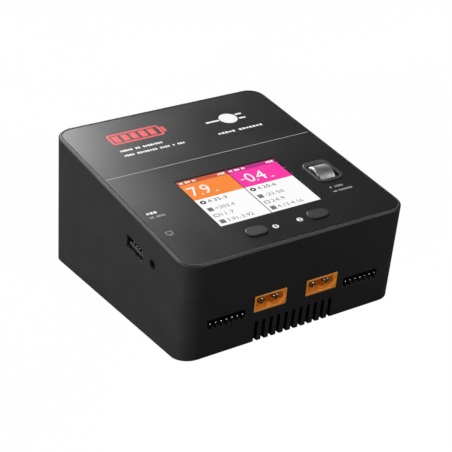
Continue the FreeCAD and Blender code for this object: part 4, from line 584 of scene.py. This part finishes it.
# ---------------------------------------------------------------- the picture on the display
STATUS_HEIGHT = 2.97      # the dark strip along the top of the picture
BLOCK_END = 15.57         # where the coloured blocks end
ROW_CENTRES = (18.2, 24.1, 29.0, 33.8)
DIGIT_TOP, DIGIT_BOTTOM = 5.8, 12.65
DOT_SIZE = 0.8            # the decimal point
UNIT_HEIGHT = 0.5         # the bar that stands in for the unit
MINUS = (26.5, 9.3, 28.5, 9.8)
ROW_ICON_INDENT = 2.7     # from a half's left edge to the middle of a line's sign
ROW_TEXT_INDENT = 4.86
ROW_TEXT_HEIGHT = 2.2
ICON_HALF = 1.35
LAYER = 0.01              # thickness of one layer of the picture
LAYOUT = (48.96, 36.72)   # the width and height the picture is laid out in
GLOW = 1.1                # strength of the display's light
ROW_INK = ((40, 40, 44), (120, 120, 124), (120, 120, 124), (120, 120, 124))
HALVES = (
    {
        "name": "left", "start": 0.0, "strip": (205, 90, 65), "block": (255, 142, 62),
        "digits": (("7", 1.44, 5.56), ("9", 7.17, 11.1)), "dot": 6.2, "unit": (12.4, 13.8),
        "status": ((1.04, 9.0, (2, 3, 2)), (19.75, 23.5, (3,))),
        "rows": (("4.35-3", 14.0), ("+303.4", 14.1), ("11.7", 10.9), ("3.91-3.92", 17.3)),
    },
    {
        "name": "right", "start": 24.4, "strip": (193, 49, 134), "block": (255, 60, 170),
        "digits": (("0", 29.1, 33.0), ("4", 34.1, 38.7)), "dot": 33.5, "unit": (40.1, 41.7),
        "status": ((25.5, 33.6, (2, 3, 2)), (44.4, 48.3, (3,))),
        "rows": (("4.20-6", 38.4), ("-22.50", 38.5), ("24.9", 35.8), ("4.13-4.16", 41.6)),
    },
)


def screen_frame():
    """The matrix that fits the picture's layout to the display. Its origin is the back left corner."""
    low, high = case_box("display_window")
    width = high.x - low.x - 2 * WINDOW_MARGIN
    depth = high.y - low.y - 2 * WINDOW_MARGIN
    corner = Vector((low.x + WINDOW_MARGIN, high.y - WINDOW_MARGIN, case_box("lcd_panel")[1].z))
    fitted = Matrix.Diagonal((width / LAYOUT[0], depth / LAYOUT[1], 1, 1))
    return CASE @ Matrix.Translation(corner) @ fitted


def down(left, top, right, bottom):
    """A rectangle given from the picture's top, as screens are laid out."""
    return rectangle(left, -bottom, right, -top)


def screen_piece(name, colour, level, outlines=(), texts=()):
    """One layer of the picture in one colour; level counts the layers up from the glass."""
    place = screen_frame()
    low = level * LAYER - (INK_SUNK / 2 if level == 0 else 0)
    high = (level + 1) * LAYER
    material = lit_pixels(name, srgb(*colour), GLOW)
    return flat_piece(name, material, low, high, outlines, texts, place)


def screen_half(half, middle):
    """One channel's readout: a coloured block with a large number, and four lines below."""
    name = half["name"]
    start = half["start"]
    end = middle if start == 0.0 else LAYOUT[0]
    screen_piece(f"screen_strip_{name}", half["strip"], 1, [down(start, 0, end, STATUS_HEIGHT)])
    screen_piece(f"screen_block_{name}", half["block"], 1, [down(start, STATUS_HEIGHT, end, BLOCK_END)])
    texts = [(text, (left, -DIGIT_BOTTOM, right, -DIGIT_TOP)) for text, left, right in half["digits"]]
    dot = half["dot"]
    shapes = [down(dot - DOT_SIZE / 2, DIGIT_BOTTOM - DOT_SIZE, dot + DOT_SIZE / 2, DIGIT_BOTTOM)]
    unit_start, unit_end = half["unit"]
    shapes.append(down(unit_start, DIGIT_BOTTOM - UNIT_HEIGHT, unit_end, DIGIT_BOTTOM))
    if name == "right":
        shapes.append(down(*MINUS))
    for left, right, words in half["status"]:
        shapes += word_blocks(left, -STATUS_HEIGHT / 2, right, 1.5, words)
    screen_piece(f"screen_white_{name}", (255, 255, 255), 2, shapes, texts)
    for index, (centre, colour) in enumerate(zip(ROW_CENTRES, ROW_INK)):
        text, right = half["rows"][index]
        rise = ROW_TEXT_HEIGHT / 2
        box = (start + ROW_TEXT_INDENT, -centre - rise, right, -centre + rise)
        icon = row_icon(index, start + ROW_ICON_INDENT, -centre)
        screen_piece(f"screen_row_{name}_{index + 1}", colour, 1, icon, [(text, box)])


def row_icon(index, x, y):
    """A small plain sign in front of each line of the readout."""
    half = ICON_HALF
    if index == 0:
        return [disc((x, y), half), disc((x, y), half * 0.4)]
    if index == 2:
        return ring(x - half, y - half * 0.8, x + half, y + half * 0.8, 0.5, 0.4)
    return [rectangle(x - half * 0.9, y - half, x + half * 0.9, y + half)]


def display_picture():
    """The whole picture: white ground, two coloured halves and a divider between them."""
    width, depth = LAYOUT
    middle = HALVES[1]["start"]
    screen_piece("screen_ground", (255, 255, 255), 0, [down(0, 0, width, depth)])
    for half in HALVES:
        screen_half(half, middle)
    screen_piece("screen_divider", (70, 50, 60), 3, [down(middle - 0.2, 0, middle + 0.2, depth)])


# ---------------------------------------------------------------- underside
LABEL_SHIFT = 18          # the label's middle lies this far behind the middle of the case
LABEL_HALF = (30.4, 16.4)
LABEL_CORNER = 1.5
LABEL_LINES = 5
LINE_LEFT, LINE_TOP = -26, 9
LINE_PITCH, LINE_HEIGHT = 4.2, 1.2
LONGEST_LINE, LINE_STEP = 34, 5


def base_label():
    """A blank rating label in its recess under the base, with grey lines and no words."""
    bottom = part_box("base_plate")[0].z
    centre = Matrix.Translation((0, LABEL_SHIFT * MM, bottom)) @ Matrix.Scale(MM, 4)
    paper = ink("label_paper", grey(170), 0.35)
    lines = ink("label_lines", grey(90))
    across, along = LABEL_HALF
    sheet = rounded(-across, -along, across, along, LABEL_CORNER)
    flat_piece("base_label", paper, 0.16, 0.31, [sheet], place=centre)
    bars = []
    for row in range(LABEL_LINES):
        length = LONGEST_LINE - LINE_STEP * (row % 3)
        low = LINE_TOP - row * LINE_PITCH
        bars.append(rectangle(LINE_LEFT, low, LINE_LEFT + length, low + LINE_HEIGHT))
    flat_piece("base_label_lines", lines, 0.13, 0.17, bars, place=centre)


# ---------------------------------------------------------------- room, light and camera
TARGET = Vector((-0.00536, -0.01378, 0.03332))
CAMERA_AZIMUTH = -31.57
CAMERA_ELEVATION = 24.82
CAMERA_ROLL = -0.89
CAMERA_DISTANCE = 0.5335
LENS, SENSOR = 100, 36    # in millimetres
FLOOR_HALF = 6.0
FLOOR_GLOW = 1.06         # brings the floor to white in the picture
FLOOR_BOUNCE = 0.10       # how pale the floor is to light that bounces off it
WORLD_FILL = 0.10         # how bright the white room is to everything but the camera
SOFT_BOXES = (            # name, azimuth, elevation, distance, size and power
    ("key_left", -82, 8, 1.0, (0.6, 0.6), 9),
    ("panel_glow", 172, 34, 1.2, (0.5, 0.75), 17),
    ("left_bevel", -138, 36, 1.2, (0.35, 0.35), 5),
    ("front_bevel", 36, 36, 1.2, (0.35, 0.35), 4),
    ("top_fill", 20, 78, 1.2, (0.8, 0.8), 1.0),
)


def direction(azimuth, elevation):
    """The way from the object to something seen at an azimuth (0 is in front, 90 right) and elevation."""
    a, e = math.radians(azimuth), math.radians(elevation)
    return Vector((math.sin(a) * math.cos(e), -math.cos(a) * math.cos(e), math.sin(e)))


def add_camera():
    data = bpy.data.cameras.new("camera")
    data.sensor_width = SENSOR
    data.lens = LENS
    camera = bpy.data.objects.new("camera", data)
    bpy.context.scene.collection.objects.link(camera)
    away = direction(CAMERA_AZIMUTH, CAMERA_ELEVATION)
    turn = (-away).to_track_quat("-Z", "Y").to_matrix().to_4x4()
    roll = Matrix.Rotation(math.radians(CAMERA_ROLL), 4, "Z")
    camera.matrix_world = Matrix.Translation(TARGET + away * CAMERA_DISTANCE) @ turn @ roll
    bpy.context.scene.camera = camera


def add_light(name, azimuth, elevation, distance, size, watts):
    """A rectangular soft box that faces the object."""
    data = bpy.data.lights.new(name, "AREA")
    data.shape = "RECTANGLE"
    data.size, data.size_y = size
    data.energy = watts
    lamp = bpy.data.objects.new(name, data)
    bpy.context.scene.collection.objects.link(lamp)
    away = direction(azimuth, elevation)
    lamp.location = TARGET + away * distance
    lamp.rotation_mode = "QUATERNION"
    lamp.rotation_quaternion = (-away).to_track_quat("-Z", "Y")


def seen_only_by_camera(shader, seen, unseen):
    """One colour for the camera and another for every other ray."""
    share = shader.add("ShaderNodeLightPath").outputs["Is Camera Ray"]
    mix = shader.add("ShaderNodeMixShader")
    shader.feed(mix, "0", share)
    shader.feed(mix, "1", unseen)
    shader.feed(mix, "2", seen)
    return mix.outputs["Shader"]


def add_floor():
    """A plain pale floor, near white to the camera and calm in reflections."""
    floor = bpy.data.meshes.new("floor")
    half = FLOOR_HALF
    corners = [(-half, -half, 0), (half, -half, 0), (half, half, 0), (-half, half, 0)]
    floor.from_pydata(corners, [], [(0, 1, 2, 3)])
    shader = Shader("floor")
    tone = shader.mixed(shader.noise(300, 3), grey(246), grey(250))
    seen = shader.add("ShaderNodeEmission", Color=tone, Strength=FLOOR_GLOW).outputs["Emission"]
    unseen = shader.add("ShaderNodeBsdfDiffuse", Color=(FLOOR_BOUNCE,) * 3 + (1,)).outputs["BSDF"]
    surface = seen_only_by_camera(shader, seen, unseen)
    shader.tree.links.new(surface, shader.output.inputs["Surface"])
    floor.materials.append(shader.material)
    piece = bpy.data.objects.new("floor", floor)
    bpy.context.scene.collection.objects.link(piece)


def add_world():
    """A plain room, white to the camera and dim to every other ray."""
    world = bpy.data.worlds.new("studio")
    world.use_nodes = True
    tree = world.node_tree
    tree.nodes.clear()
    output = tree.nodes.new("ShaderNodeOutputWorld")
    seen = tree.nodes.new("ShaderNodeBackground")
    seen.inputs["Color"].default_value = (1, 1, 1, 1)
    unseen = tree.nodes.new("ShaderNodeBackground")
    unseen.inputs["Color"].default_value = (WORLD_FILL,) * 3 + (1,)
    mix = tree.nodes.new("ShaderNodeMixShader")
    share = tree.nodes.new("ShaderNodeLightPath")
    tree.links.new(share.outputs["Is Camera Ray"], mix.inputs[0])
    tree.links.new(unseen.outputs["Background"], mix.inputs[1])
    tree.links.new(seen.outputs["Background"], mix.inputs[2])
    tree.links.new(mix.outputs["Shader"], output.inputs["Surface"])
    bpy.context.scene.world = world


def add_lights():
    for soft_box in SOFT_BOXES:
        add_light(*soft_box)


dress_cad_nodes()
panel_print()
display_picture()
base_label()
add_world()
add_floor()
add_lights()
add_camera()
bpy.context.scene.view_settings.view_transform = "Standard"
